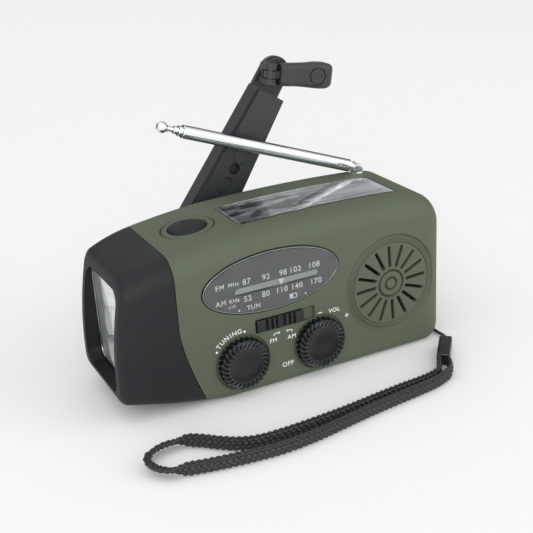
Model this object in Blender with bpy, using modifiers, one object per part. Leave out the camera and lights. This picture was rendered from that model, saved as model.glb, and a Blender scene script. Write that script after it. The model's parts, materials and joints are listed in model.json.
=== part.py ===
"""Hand-crank emergency radio with a torch, a solar cell, a telescopic aerial and a wrist strap.

X runs along the body from the torch (-X) to the strap (+X), the dial faces -Y, and +Z is up.
The origin is the middle of the case's flat underside. Sizes in this file are millimetres; the
helpers turn them into the scene's metres.
"""

import math

import bmesh
import bpy
from mathutils import Matrix, Vector

MM = 0.001
GAP = 0.3            # between pieces that touch

# Case
END_L, END_R = -64.3, 63.5
HALF_DEPTH = 22.5
TOP_Z = 59.2
ARCH = 0.0008        # how fast the top falls away from ARCH_X
ARCH_X = 12.0
FALL_START, FALL = -15.0, 3.6    # the top falls further towards the torch
WALL = 2.0
SHOULDER_FRONT, SHOULDER_BACK, BOTTOM_R = 8.0, 5.0, 4.0
END_ROUND = 8.5
END_DROP_START, END_DROP = 46.0, 2.4     # the top falls away over the strap's end
SPLIT_Y = 19.5       # front shell before it, back cover behind it
SEAM_X = -43.0       # hood's rear edge above SEAM_BEND
SEAM_BEND, SEAM_SWEEP = 31.0, 9.0
HOOD_START, HOOD_NARROW = -43.0, 2.4
RISE_START, RISE = -26.0, 7.2    # the underside rises towards the torch
END_BULGE, BULGE_Z = 2.9, 14.0

# Torch
LENS_Y, LENS_Z0, LENS_Z1, LENS_R = 15.8, 10.0, 46.5, 5.0
LED_Z = (17.0, 28.0, 39.0)
BUTTON = (-28.0, 0.5)
BUTTON_R = 6.8

# Solar window, dial and controls
SOLAR = (-13.8, 49.6, -11.6, 9.6)
DIAL = (-8.0, 40.9)
DIAL_AXES = (26.1, 11.1)
BAR_X0, BAR_X1 = -22.0, 10.0
POINTER_X = -4.5
BAR_Z = 39.4
TUNING = (-20.8, 13.2)
VOLUME = (9.2, 12.9)
KNOB_R, KNOB_PROUD = 9.4, 3.2
SWITCH = (-15.3, 7.8, 22.5, 27.5)
SPEAKER = (39.6, 27.8)
SPEAKER_R = 18.6

# Crank
HUB = (-21.1, 31.0)
ARM_ANGLE = 55.7     # above +X
ARM_IN, ARM_OUT = 26.0, 34.0
FLIP_Y = 30.8
ARM_START, ARM_W0, ARM_TAPER = 4.6, 20.4, 0.103
ARM_BODY_END = 72.9
SWIVEL_S = 81.0
KNOB_TILT = 9.6      # below +X
KNOB_PIN = -4.5
LUG_R = 2.4
KNOB_PIN_Y = 26.6
PLUG_S = 18.4
# Along the knob, half its height, its depth in front of the pin and behind it
GRIP_RINGS = ((3.4, 3.7, 2.9, 2.9), (6.0, 3.8, 3.3, 2.9), (10.0, 4.0, 2.4, 2.9), (14.5, 4.3, 2.7, 3.2),
              (19.0, 4.6, 3.2, 4.2), (23.0, 4.5, 3.1, 4.2), (24.8, 3.9, 2.4, 3.6))

# Gears: module, tooth counts, centres in XZ
MODULE = 1.0
DRIVE_TEETH, SMALL_TEETH, IDLER_TEETH, ROTOR_TEETH = 30, 10, 24, 8
MESH_SLACK = 0.15
IDLER_ANGLE = -19.4
ROTOR_ANGLE = -29.7

# Aerial
AERIAL = (50.1, 17.6, 59.7)
AERIAL_RISE = 20.5
AERIAL_SEAT_R, AERIAL_SEAT_Z = 3.2, 57.1
TUBES = ((2.4, 2.05, 3.4, 75.0), (1.9, 1.55, 12.0, 76.6), (1.4, 1.1, 14.0, 78.4))
ROD_R, ROD_START, ROD_END = 0.95, 16.0, 80.3

# Strap
STRAP_Y = -12.0
STRAP_OUT = (61.3, 3.1)         # where the hole meets the end's lower rounding, in XZ
STRAP_WAY = (0.759, -0.651)     # the hole's direction, in XZ
CORD_R, BRAID_R = 0.6, 1.3
FERRULE_FROM = Vector((58.0, -30.6, 2.8))
FERRULE_TO = Vector((48.6, -42.0, 2.8))
FERRULE_HALF = 2.4
CORD_ROUTE = ((54.1, -12.0, 9.3), (56.6, -12.0, 7.2), (59.05, -12.0, 5.1), (61.4, -12.1, 3.15),
              (62.3, -12.9, 2.1), (62.5, -14.6, 1.35), (62.2, -17.0, 1.0), (62.1, -19.8, 0.95),
              (62.1, -22.4, 1.1), (61.5, -24.8, 1.6), (60.3, -27.4, 2.3), (58.3, -30.25, 2.8))
BRAID_ROUTE = ((47.2, -41.6, 2.8), (45.3, -44.2, 2.8), (43.2, -47.2, 2.8), (40.5, -49.3, 2.8),
               (37.0, -50.5, 2.8), (31.8, -51.2, 2.8), (24.0, -51.7, 2.8), (17.0, -52.4, 2.8),
               (8.0, -53.5, 2.8), (-4.0, -54.7, 2.8), (-16.0, -55.4, 2.8), (-26.0, -55.5, 2.8),
               (-32.5, -54.9, 2.8), (-38.2, -52.6, 2.8), (-43.0, -48.9, 2.8), (-48.2, -44.2, 2.8),
               (-53.0, -41.4, 2.8), (-58.0, -40.9, 2.8), (-62.4, -42.2, 2.8), (-65.4, -45.2, 2.8),
               (-66.2, -48.8, 2.8), (-65.0, -52.6, 2.8), (-61.4, -55.9, 2.8), (-54.0, -58.2, 2.8),
               (-45.0, -60.1, 2.8), (-34.0, -61.6, 2.8), (-25.0, -62.1, 2.8), (-14.0, -61.3, 2.8),
               (-3.0, -59.5, 2.8), (8.0, -57.6, 2.8), (19.0, -56.1, 2.8), (28.0, -55.0, 2.8),
               (36.0, -53.9, 2.8), (41.5, -52.3, 2.8), (45.6, -50.2, 2.8), (48.3, -46.6, 2.8),
               (49.45, -43.35, 2.8))

COLOURS = {
    "olive_plastic": ((0.165, 0.19, 0.115), 0.55, 0.0), "black_plastic": ((0.02, 0.021, 0.023), 0.5, 0.0),
    "black_rubber": ((0.03, 0.031, 0.034), 0.75, 0.0), "clear_plastic": ((0.8, 0.82, 0.84), 0.05, 0.0),
    "chrome": ((0.82, 0.83, 0.85), 0.12, 1.0), "steel": ((0.55, 0.56, 0.58), 0.3, 1.0),
    "led_clear": ((0.9, 0.9, 0.86), 0.1, 0.0), "solar": ((0.12, 0.13, 0.17), 0.25, 0.2),
    "dial": ((0.05, 0.052, 0.055), 0.2, 0.0), "white_plastic": ((0.85, 0.85, 0.85), 0.4, 0.0),
    "board": ((0.03, 0.16, 0.07), 0.45, 0.0), "copper": ((0.6, 0.3, 0.15), 0.4, 1.0),
    "battery": ((0.1, 0.25, 0.5), 0.35, 0.0), "paper": ((0.05, 0.05, 0.05), 0.9, 0.0),
    "nylon": ((0.75, 0.73, 0.66), 0.5, 0.0), "braid": ((0.02, 0.02, 0.022), 0.85, 0.0),
    "ferrite": ((0.06, 0.06, 0.065), 0.6, 0.0),
}


# ---------- helpers ----------

def clear_scene():
    for obj in list(bpy.data.objects):
        bpy.data.objects.remove(obj)
    for name in ("emergency_radio", "cutters"):
        bpy.context.scene.collection.children.link(bpy.data.collections.new(name))
    bpy.data.collections["cutters"].hide_render = True


def material(slot):
    mat = bpy.data.materials.get(slot) or bpy.data.materials.new(slot)
    colour, roughness, metallic = COLOURS[slot]
    mat.use_nodes = True
    shader = mat.node_tree.nodes["Principled BSDF"]
    shader.inputs["Base Color"].default_value = (*colour, 1)
    shader.inputs["Roughness"].default_value = roughness
    shader.inputs["Metallic"].default_value = metallic
    mat.diffuse_color = (*colour, 1)
    return mat


def add(name, mesh, slot=None, parent=None, at=(0, 0, 0)):
    """A part if it has a material slot, otherwise a cutter."""
    obj = bpy.data.objects.new(name, mesh)
    bpy.data.collections["emergency_radio" if slot else "cutters"].objects.link(obj)
    obj.location = Vector(at) * MM
    obj.parent = parent
    if slot:
        mesh.materials.append(material(slot))
        mesh.shade_smooth()
        mesh.set_sharp_from_angle(angle=math.radians(35))
    else:
        obj.hide_render = True
        obj.display_type = "WIRE"
    return obj


def frame(name, at, parent=None, turn_y=0.0):
    """An empty on a joint's axis, turned about Y."""
    empty = bpy.data.objects.new(name, None)
    bpy.data.collections["emergency_radio"].objects.link(empty)
    empty.location = Vector(at) * MM
    empty.rotation_euler = (0, math.radians(turn_y), 0)
    empty.parent = parent
    return empty


def finish(bm, name, matrix=None):
    bmesh.ops.recalc_face_normals(bm, faces=bm.faces)
    bm.transform(Matrix.Scale(MM, 4) @ (matrix or Matrix()))
    mesh = bpy.data.meshes.new(name)
    bm.to_mesh(mesh)
    bm.free()
    return mesh


def box_mesh(name, low, high):
    bm = bmesh.new()
    bmesh.ops.create_cube(bm, size=1)
    low, high = Vector(low), Vector(high)
    size = Matrix.Diagonal((*(high - low), 1))
    return finish(bm, name, Matrix.Translation((low + high) / 2) @ size)


def along(axis):
    """Turns +Z to the axis."""
    return Vector((0, 0, 1)).rotation_difference(Vector(axis)).to_matrix().to_4x4()


def cylinder_mesh(name, start, end, r1, r2=None, sides=24):
    start, end = Vector(start), Vector(end)
    bm = bmesh.new()
    r2 = r1 if r2 is None else r2
    depth = (end - start).length
    bmesh.ops.create_cone(bm, cap_ends=True, segments=sides, radius1=r1, radius2=r2, depth=depth)
    return finish(bm, name, Matrix.Translation((start + end) / 2) @ along(end - start))


def prism_mesh(name, outline, low, high, axis="Y"):
    """A closed outline pulled from low to high along an axis; its points are (first, second) of
    XZ for Y, YZ for X and XY for Z."""
    place = {"Y": lambda a, b, c: (a, c, b), "X": lambda a, b, c: (c, a, b), "Z": lambda a, b,
             c: (a, b, c)}[axis]
    bm = bmesh.new()
    face = bm.faces.new([bm.verts.new(place(a, b, low)) for a, b in outline])
    pulled = bmesh.ops.extrude_face_region(bm, geom=[face])["geom"]
    verts = [v for v in pulled if isinstance(v, bmesh.types.BMVert)]
    bmesh.ops.translate(bm, verts=verts, vec=Vector(place(0, 0, high - low)))
    return finish(bm, name)


def loft_mesh(name, rings, rungs=None):
    """Rings joined in order; the ends are closed by one face, or by faces between the rungs."""
    bm = bmesh.new()
    rows = [[bm.verts.new(point) for point in ring] for ring in rings]
    for row, after in zip(rows, rows[1:]):
        for i in range(len(row)):
            j = (i + 1) % len(row)
            bm.faces.new((row[i], row[j], after[j], after[i]))
    for row in (rows[0], rows[-1]):
        if rungs is None:
            bm.faces.new(row)
            continue
        for (a, b), (c, d) in zip(rungs, rungs[1:]):
            bm.faces.new((row[a], row[b], row[d], row[c]))
    return finish(bm, name)


def turned(name, profile, slot, centre, axis, parent=None, steps=24, origin=(0, 0, 0)):
    """A (radius, height) profile, top to bottom down its outer side, turned about an axis."""
    mesh = bpy.data.meshes.new(name)
    points = [Vector((r, 0, h)) * MM for r, h in profile]
    mesh.from_pydata(points, [(i, i + 1) for i in range(len(points) - 1)], [])
    obj = add(name, mesh, slot, parent, origin)
    obj.matrix_basis = Matrix.Translation((Vector(centre)) * MM) @ along(axis)
    screw = obj.modifiers.new("Turn", "SCREW")
    screw.steps = steps
    screw.render_steps = steps
    screw.use_merge_vertices = True
    screw.merge_threshold = 1e-5
    return obj


def tube(name, points, radius, slot, resolution=2):
    curve = bpy.data.curves.new(name, "CURVE")
    curve.dimensions = "3D"
    curve.bevel_depth = radius * MM
    curve.bevel_resolution = resolution
    curve.use_fill_caps = True
    spline = curve.splines.new("POLY")
    spline.points.add(len(points) - 1)
    for spot, point in zip(spline.points, points):
        spot.co = (*(Vector(point) * MM), 1)
    obj = bpy.data.objects.new(name, curve)
    bpy.data.collections["emergency_radio"].objects.link(obj)
    curve.materials.append(material(slot))
    return obj


def boolean(obj, other, operation="DIFFERENCE"):
    mod = obj.modifiers.new(operation.title() + "_" + other.name, "BOOLEAN")
    mod.operation = operation
    mod.object = other
    return obj


def cut(obj, *meshes):
    """Cuts each mesh from the object; the cutter goes with the object's frame."""
    for mesh in meshes:
        boolean(obj, add(mesh.name, mesh, None, obj.parent))
    return obj


def rounded(width, height, radius, centre=(0, 0), steps=4):
    """Outline of a rounded rectangle."""
    points = []
    corners = ((1, 1, 0), (-1, 1, 90), (-1, -1, 180), (1, -1, 270))
    for sx, sy, start in corners:
        x = centre[0] + sx * (width / 2 - radius)
        y = centre[1] + sy * (height / 2 - radius)
        for i in range(steps + 1):
            angle = math.radians(start + 90 * i / steps)
            points.append((x + radius * math.cos(angle), y + radius * math.sin(angle)))
    return points


def ellipse(centre, a, b, sides=32):
    turns = [2 * math.pi * i / sides for i in range(sides)]
    return [(centre[0] + a * math.cos(t), centre[1] + b * math.sin(t)) for t in turns]


def smooth_route(points, spacing):
    """Points at an even spacing along a Catmull-Rom curve through the route."""
    route = [Vector(p) for p in points]
    ends = [2 * route[0] - route[1]] + route + [2 * route[-1] - route[-2]]
    fine = []
    for a, b, c, d in zip(ends, ends[1:], ends[2:], ends[3:]):
        for i in range(12):
            t = i / 12
            fine.append(0.5 * (2 * b + (c - a) * t + (2 * a - 5 * b + 4 * c - d) * t * t
                               + (3 * b - a - 3 * c + d) * t ** 3))
    fine.append(route[-1])
    lengths = [0.0]
    for p, q in zip(fine, fine[1:]):
        lengths.append(lengths[-1] + (q - p).length)
    count = max(2, round(lengths[-1] / spacing))
    result = []
    for n in range(count + 1):
        want = lengths[-1] * n / count
        k = max(i for i, s in enumerate(lengths) if s <= want + 1e-9)
        k = min(k, len(fine) - 2)
        share = (want - lengths[k]) / (lengths[k + 1] - lengths[k])
        result.append(fine[k].lerp(fine[k + 1], share))
    return result


# ---------- case ----------

def share_past(x, start, end):
    """0 up to start, growing to 1 at end."""
    return max(0.0, (x - start) / (end - start))


def top_z(x):
    fall = FALL * share_past(x, FALL_START, END_L) ** 1.6
    drop = END_DROP * share_past(x, END_DROP_START, END_R) ** 2
    return TOP_Z - ARCH * (x - ARCH_X) ** 2 - fall - drop


def end_shift(x, z):
    """How far the torch's end curves back above and below its furthest point."""
    return share_past(x, HOOD_START, END_L) ** 2 * END_BULGE * ((z - BULGE_Z) / 28) ** 2


def case_ring(x, inset):
    """One cross-section of the case, drawn in by the inset."""
    half = HALF_DEPTH - HOOD_NARROW * share_past(x, HOOD_START, END_L) ** 1.5 - inset
    low = RISE * share_past(x, RISE_START, END_L) ** 1.1 + inset
    high = top_z(x) - inset
    corners = ((half, high, 1, 1, SHOULDER_BACK), (-half, high, -1, 1, SHOULDER_FRONT),
               (-half, low, -1, -1, BOTTOM_R), (half, low, 1, -1, BOTTOM_R))
    section = []
    for n, (y, z, side, up, radius) in enumerate(corners):
        radius = max(1.2, radius - 0.6 * inset)
        for i in range(6):
            angle = math.radians(90 * n + 18 * i)
            section.append((y - side * radius + radius * math.cos(angle),
                            z - up * radius + radius * math.sin(angle)))
        if n in (1, 3):
            section += upright(section[-1], high if n == 3 else low)
    return [(x + end_shift(x, z), y, z) for y, z in section]


def upright(corner, far):
    """Three points up or down a side, between its two rounded corners."""
    y, z = corner
    margin = math.copysign(BOTTOM_R if far < z else SHOULDER_BACK, far - z)
    return [(y, z + (far - margin - z) * n / 4) for n in (1, 2, 3)]


def case_loft(name, inset):
    """The case's outside, or its inside when drawn in."""
    left, right = END_L + 2.4 * inset, END_R - inset
    rings = []
    for degrees in (0, 30, 60, 90):
        bend = math.radians(degrees)
        rings.append(case_ring(left + 2.2 * (1 - math.cos(bend)), inset + 2.2 * (1 - math.sin(bend))))
    for x in (-57, -53, -49, -46, -43, -38, -32, -26, -18, -6, 6, 18, 30, 40, 46, 50):
        rings.append(case_ring(x, inset))
    for degrees in (90, 70, 50, 30, 12, 0):
        bend = math.radians(degrees)
        rings.append(case_ring(right - END_ROUND * (1 - math.cos(bend)),
                               inset + END_ROUND * (1 - math.sin(bend))))
    count = len(rings[0])
    rungs = [((5 - n) % count, 6 + n) for n in range(count // 2)]
    return loft_mesh(name, rings, rungs)


def seam_x(z):
    return SEAM_X + SEAM_SWEEP * share_past(z, SEAM_BEND, 0) ** 1.5


def seam_block(name, x_far, shift):
    """Everything between the hood's seam and a plane at x_far."""
    heights = (-5, 0, 3, 7, 11, 15, 19, 23, 27, 31, 64)
    outline = [(seam_x(z) + shift, z) for z in heights] + [(x_far, 64), (x_far, -5)]
    return prism_mesh(name, outline, -30, 30)


BOSSES = ((-33, 8), (-34, 45), (48.5, 8), (55.5, 45))


def front_shell():
    shell = add("front_shell", case_loft("front_shell", 0), "olive_plastic")
    inside = add("inside", case_loft("inside", WALL))
    boolean(shell, inside)
    cut(shell, seam_block("before_seam", -80, 0.15))
    cut(shell, box_mesh("behind_split", (-80, SPLIT_Y - 0.15, -5), (80, 40, 80)))
    for n, (x, z) in enumerate(BOSSES):
        post = add(f"boss_{n}", cylinder_mesh(f"boss_{n}", (x, -21, z), (x, SPLIT_Y - 0.5, z), 2.8,
                                              sides=12))
        boolean(shell, post, "UNION")
    holes = [cylinder_mesh(f"boss_hole_{n}", (x, 6, z), (x, 30, z), 1.5, sides=10)
             for n, (x, z) in enumerate(BOSSES)]
    cut(shell, *holes)
    x0, x1, y0, y1 = SOLAR
    middle = ((x0 + x1) / 2, (y0 + y1) / 2)
    cut(shell, prism_mesh("solar_recess", rounded(x1 - x0, y1 - y0, 1.2, middle, 2), 57.0, 70, "Z"))
    cut(shell, prism_mesh("solar_hole", rounded(x1 - x0 - 5, y1 - y0 - 5, 1, middle, 2), 50, 70, "Z"))
    cut(shell, cylinder_mesh("button_hole", (*BUTTON, 50), (*BUTTON, 70), BUTTON_R + GAP))
    cut_front_openings(shell)
    cut(shell, box_mesh("usb_hole", (58, -4.6, 19.4), (70, 4.6, 24.6)))
    cut(shell, box_mesh("cover_pocket", (62.1, -7.3, 15.3), (70, 7.3, 28.3)))
    cut(shell, cylinder_mesh("strap_hole", strap_point(-4), strap_point(3), 1.0, sides=12))
    cut(shell, aerial_seat(), cylinder_mesh("aerial_hole", (*AERIAL[:2], 50), (*AERIAL[:2], 70), 1.6,
                                            sides=12))
    return shell


def strap_point(way):
    """A point on the strap hole's axis, outside the case where way is above 0."""
    return (STRAP_OUT[0] + way * STRAP_WAY[0], STRAP_Y, STRAP_OUT[1] + way * STRAP_WAY[1])


def aerial_seat():
    x, y = AERIAL[:2]
    return cylinder_mesh("aerial_seat", (x, y, AERIAL_SEAT_Z), (x, y, 70), AERIAL_SEAT_R)


def cut_front_openings(shell):
    front = -HALF_DEPTH
    cut(shell, prism_mesh("dial_recess", ellipse(DIAL, *DIAL_AXES), front - 3, front + 1.1))
    cut(shell, box_mesh("dial_slot", (BAR_X0 - 1, front - 3, BAR_Z - 2.5),
                        (BAR_X1 + 1, front + 5, BAR_Z + 2.5)))
    for name, (x, z) in (("tuning", TUNING), ("volume", VOLUME)):
        cut(shell, cylinder_mesh(name + "_well", (x, front - 3, z), (x, front + 0.8, z), KNOB_R + 0.7,
                                 sides=32))
        cut(shell, cylinder_mesh(name + "_hole", (x, front - 3, z), (x, front + 5, z), 3.4, sides=16))
    x0, x1, z0, z1 = SWITCH
    cut(shell, box_mesh("switch_recess", (x0, front - 3, z0), (x1, front + 1.4, z1)))
    cut(shell, box_mesh("switch_slot", (x0 + 5, front - 3, z0 + 1.4), (x1 - 5, front + 5, z1 - 1.4)))
    cut(shell, speaker_slots())
    cut(shell, ring_mesh("speaker_groove", SPEAKER, SPEAKER_R, SPEAKER_R - 1.2, front - 1, front + 0.7))


def ring_mesh(name, centre, outer, inner, low, high, sides=40):
    """A square-edged ring about Y."""
    bm = bmesh.new()
    rows = []
    for radius, y in ((outer, low), (outer, high), (inner, high), (inner, low)):
        rows.append([bm.verts.new((p[0], y, p[1])) for p in ellipse(centre, radius, radius, sides)])
    for row, after in zip(rows, rows[1:] + rows[:1]):
        for i in range(sides):
            j = (i + 1) % sides
            bm.faces.new((row[i], row[j], after[j], after[i]))
    return finish(bm, name)


def speaker_slots():
    """Sixteen radial slots and a centre hole, as one cutter of separate blocks."""
    bm = bmesh.new()
    centre = Vector((SPEAKER[0], -HALF_DEPTH + 1, SPEAKER[1]))
    for n in range(16):
        turn = Matrix.Rotation(math.radians(22.5 * n), 4, "Y")
        size = Matrix.Diagonal((8.2, 6, 1.0, 1))
        slot = Matrix.Translation(centre) @ turn @ Matrix.Translation((10.4, 0, 0)) @ size
        bmesh.ops.create_cube(bm, size=1, matrix=slot)
    return finish(bm, "speaker_slots")


def back_cover():
    cover = add("back_cover", case_loft("back_cover", 0), "olive_plastic")
    boolean(cover, bpy.data.objects["inside"])
    cut(cover, seam_block("before_seam_back", -80, 0.15))
    cut(cover, box_mesh("before_split", (-80, -40, -5), (80, SPLIT_Y + 0.15, 80)))
    cut(cover, aerial_seat())
    cut(cover, cylinder_mesh("axle_hole", (HUB[0], 10, HUB[1]), (HUB[0], 30, HUB[1]), 2.4, sides=16))
    for n, (x, z) in enumerate(BOSSES):
        cut(cover, cylinder_mesh(f"screw_well_{n}", (x, 21.2, z), (x, 30, z), 2.7, sides=16))
        cut(cover, cylinder_mesh(f"screw_way_{n}", (x, 10, z), (x, 30, z), 1.5, sides=10))
    return cover


def torch_hood():
    hood = add("torch_hood", case_loft("torch_hood", 0), "black_rubber")
    boolean(hood, bpy.data.objects["inside"])
    cut(hood, seam_block("behind_seam", 80, -0.15))
    cut(hood, prism_mesh("lens_window", lens_outline(0), -80, -50, "X"))
    return hood


def case_screws():
    for n, (x, z) in enumerate(BOSSES):
        profile = ((0, 0), (2.3, 0), (2.3, -1.0), (1.15, -1.0), (1.15, -12), (0, -12.8))
        turned(f"case_screw_{n + 1}", profile, "steel", (x, 22.4, z), (0, 1, 0), steps=12)


# ---------- torch ----------

def lens_outline(inset):
    width, height = 2 * LENS_Y - 2 * inset, LENS_Z1 - LENS_Z0 - 2 * inset
    return rounded(width, height, LENS_R - inset, (0, (LENS_Z0 + LENS_Z1) / 2))


def torch():
    add("torch_lens", prism_mesh("torch_lens", lens_outline(0.3), -59.1, -58.1, "X"), "clear_plastic")
    reflector = add("torch_reflector", prism_mesh("torch_reflector", lens_outline(0.4), -57.8, -51.5,
                                                  "X"), "chrome")
    for n, z in enumerate(LED_Z):
        cut(reflector, cylinder_mesh(f"cup_{n}", (-60, 0, z), (-53.0, 0, z), 6.4, 3.2, sides=20))
        cut(reflector, cylinder_mesh(f"led_hole_{n}", (-54, 0, z), (-50, 0, z), 2.8, sides=12))
    for n, z in enumerate(LED_Z):
        profile = ((0, 5.4), (1.25, 5.1), (2.2, 4.0), (2.5, 2.6), (2.5, 0), (0, 0))
        turned(f"led_{n + 1}", profile, "led_clear", (-50.9, 0, z), (-1, 0, 0), steps=12)
    add("led_board", box_mesh("led_board", (-50.6, -12, 10), (-49.2, 12, 46)), "board")


def torch_button():
    x, y = BUTTON
    top = top_z(x)
    button = frame("torch_button_axis", (x, y, top))
    dome = ((0, 1.2), (2.6, 1.1), (4.8, 0.6), (6.3, -0.2), (6.8, -0.9), (6.8, -2.6), (2.6, -2.6),
            (2.6, -3.4), (0, -3.4))
    turned("torch_button", dome, "black_rubber", (0, 0, 0), (0, 0, 1), button)
    coil = []
    for n in range(25):
        angle = 2 * math.pi * n / 8
        coil.append((x + 3.6 * math.cos(angle), y + 3.6 * math.sin(angle), top - 3.2 - 2.2 * n / 24))
    tube("torch_button_spring", coil, 0.25, "steel", 1)
    switch = add("torch_switch", box_mesh("torch_switch", (x - 4.5, y - 4.5, top - 9.5),
                                          (x + 4.5, y + 4.5, top - 5.8)),
                 "black_plastic")
    boolean(switch, add("plunger", cylinder_mesh("plunger", (x, y, top - 6), (x, y, top - 5.3), 1.8,
                                                 sides=12)), "UNION")


# ---------- solar window and dial ----------

def solar():
    x0, x1, y0, y1 = SOLAR
    under, edge = 57.7, 0.6
    rings = []
    for n in range(9):
        x = x0 + edge + (x1 - x0 - 2 * edge) * n / 8
        top = top_z(x)
        rings.append(((x, y0 + edge, under), (x, y1 - edge, under), (x, y1 - edge, top),
                      (x, y0 + edge, top)))
    add("solar_cover", loft_mesh("solar_cover", rings), "clear_plastic")
    add("solar_cell", box_mesh("solar_cell", (x0 + 0.6, y0 + 0.6, 57.25), (x1 - 0.6, y1 - 0.6, 57.45)),
        "solar")


def dial():
    front = -HALF_DEPTH
    pane = ellipse(DIAL, DIAL_AXES[0] - GAP, DIAL_AXES[1] - GAP)
    add("dial_window", prism_mesh("dial_window", pane, front - 0.2, front + 0.8), "dial")
    pointer = frame("dial_pointer_axis", (POINTER_X, front, BAR_Z))
    blade = add("dial_pointer", box_mesh("dial_pointer", (-0.5, 1.3, -2.2), (0.5, 2.3, 2.2)),
                "white_plastic", pointer)
    carriage = add("carriage", box_mesh("carriage", (-3, 2.2, -3), (3, 5.2, 3)), None, pointer)
    boolean(blade, carriage, "UNION")
    cut(blade, cylinder_mesh("rail_way", (-9, 3.9, 0), (9, 3.9, 0), 0.9, sides=12))
    rail = cylinder_mesh("pointer_rail", (BAR_X0 - 7, front + 3.9, BAR_Z),
                         (BAR_X1 + 8, front + 3.9, BAR_Z), 0.75, sides=12)
    add("pointer_rail", rail, "steel")


# ---------- knobs and switches ----------

def fluted(radius, depth, count):
    """A knob's outline with shallow round flutes."""
    points = []
    for n in range(count * 2):
        angle = math.pi * n / count
        r = radius if n % 2 == 0 else radius - depth
        points.append((r * math.cos(angle), r * math.sin(angle)))
    return points


def knob(name, centre, shaft_length):
    x, z = centre
    axis = frame(name + "_axis", (x, -HALF_DEPTH, z))
    body = add(name, prism_mesh(name, fluted(KNOB_R, 0.55, 30), -KNOB_PROUD, 0.5), "black_plastic", axis)
    boolean(body, add(name + "_stem", cylinder_mesh(name + "_stem", (0, 0.2, 0), (0, shaft_length, 0),
                                                    3.0, sides=16),
                      None, axis), "UNION")
    dish = cylinder_mesh(name + "_dish", (0, -KNOB_PROUD - 1, 0), (0, -KNOB_PROUD + 0.6, 0), 7.4, 6.2)
    cut(body, dish)
    return axis


def controls():
    front = -HALF_DEPTH
    tuning = knob("tuning_knob", TUNING, 4.0)
    drum = ((0, 2.2), (5.6, 2.2), (5.6, 1.8), (5.0, 1.4), (5.0, 0.8), (5.6, 0.4), (5.6, 0), (0, 0))
    turned("dial_drum", drum, "nylon", (0, 4.3, 0), (0, 1, 0), tuning, steps=20)
    x, z = TUNING
    add("tuning_capacitor", box_mesh("tuning_capacitor", (x - 8, front + 6.8, z - 8),
                                     (x + 8, front + 12.4, z + 8)),
        "white_plastic")
    knob("volume_knob", VOLUME, 4.0)
    x, z = VOLUME
    pot = cylinder_mesh("volume_pot", (x, front + 4.4, z), (x, front + 12.4, z), 7.5, sides=20)
    add("volume_pot", pot, "steel")
    x0, x1, z0, z1 = SWITCH
    slider = frame("band_switch_axis", (x0, front, (z0 + z1) / 2))
    half = (z1 - z0) / 2 - GAP
    cap = add("band_switch", box_mesh("band_switch", (GAP, -0.7, -half), (18.4, 1.1, half)),
              "black_plastic", slider)
    boolean(cap, add("switch_stem", box_mesh("switch_stem", (8.2, 1.0, -0.9), (12.4, 3.6, 0.9)), None,
                     slider), "UNION")
    for n, x in enumerate((3.6, 5.6, 7.4, 10.4, 12.4, 14.2)):
        cut(cap, box_mesh(f"switch_rib_{n}", (x, -1.2, -4), (x + 0.8, -0.15, 4)))
    add("band_switch_body", box_mesh("band_switch_body", (x0 + 4, front + 4.0, z0 + 0.4),
                                     (x1 - 4, front + 8.6, z1 - 0.4)),
        "steel")


def port():
    add("usb_socket", box_mesh("usb_socket", (54.5, -4.0, 20.0), (61.7, 4.0, 24.0)), "steel")
    cut(bpy.data.objects["usb_socket"], box_mesh("usb_mouth", (56, -3.2, 20.8), (70, 3.2, 23.2)))
    hinge = frame("port_cover_axis", (62.8, 0, 16.4))
    add("port_cover", box_mesh("port_cover", (-0.4, -7.0, -0.4), (0.7, 7.0, 11.6)), "black_rubber",
        hinge)


# ---------- speaker and electronics ----------

def speaker():
    x, z = SPEAKER
    y = -HALF_DEPTH + WALL + 3 * GAP
    basket = ((7.0, -7.2), (16.0, -2.2), (16.6, -1.8), (16.6, 0), (15.6, 0), (15.6, -1.6), (6.2, -6.4),
              (6.2, -7.2), (7.0, -7.2))
    turned("speaker_basket", list(reversed(basket)), "steel", (x, y, z), (0, -1, 0), steps=32)
    cone = ((0, -3.4), (4.0, -3.9), (15.2, -0.7), (15.2, -1.2), (5.9, -5.6), (0, -5.2))
    turned("speaker_cone", cone, "paper", (x, y, z), (0, -1, 0), steps=32)
    add("speaker_magnet", cylinder_mesh("speaker_magnet", (x, y + 7.5, z), (x, y + 14, z), 10.5),
        "ferrite")


def electronics():
    add("main_board", box_mesh("main_board", (-28, -9.6, 5), (24, -8.0, 46)), "board")
    add("battery", cylinder_mesh("battery", (-10, 2, 46), (38, 2, 46), 7.0), "battery")
    add("ferrite_rod", cylinder_mesh("ferrite_rod", (-12, -15.5, 51.5), (38, -15.5, 51.5), 2.6,
                                     sides=12), "ferrite")


# ---------- crank train ----------

def gear_outline(teeth, phase):
    """Straight-sided teeth, thin enough to run with backlash."""
    pitch = teeth * MODULE / 2
    step = 2 * math.pi / teeth
    shape = ((-0.27, -1.15), (-0.13, 0.85), (0.13, 0.85), (0.27, -1.15))
    points = []
    for n in range(teeth):
        for share, height in shape:
            angle = (n + share) * step + phase
            radius = pitch + height * MODULE
            points.append((radius * math.cos(angle), radius * math.sin(angle)))
    return points


def gear(name, teeth, phase, low, high, slot, parent, bore=0.0):
    obj = add(name, prism_mesh(name, gear_outline(teeth, phase), low, high), slot, parent)
    if bore:
        cut(obj, cylinder_mesh(name + "_bore", (0, low - 3, 0), (0, high + 3, 0), bore, sides=16))
    return obj


def centre_at(start, angle, distance):
    return (start[0] + distance * math.cos(math.radians(angle)),
            start[1] + distance * math.sin(math.radians(angle)))


def mesh_phase(teeth, angle, driver_teeth, driver_phase):
    """The phase that puts a gap where the driver has a tooth, along the line of centres."""
    line = math.radians(angle)
    driver = (line - driver_phase) / (2 * math.pi / driver_teeth)
    offset = driver - round(driver)
    return line + math.pi - (0.5 - offset) * 2 * math.pi / teeth


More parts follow.
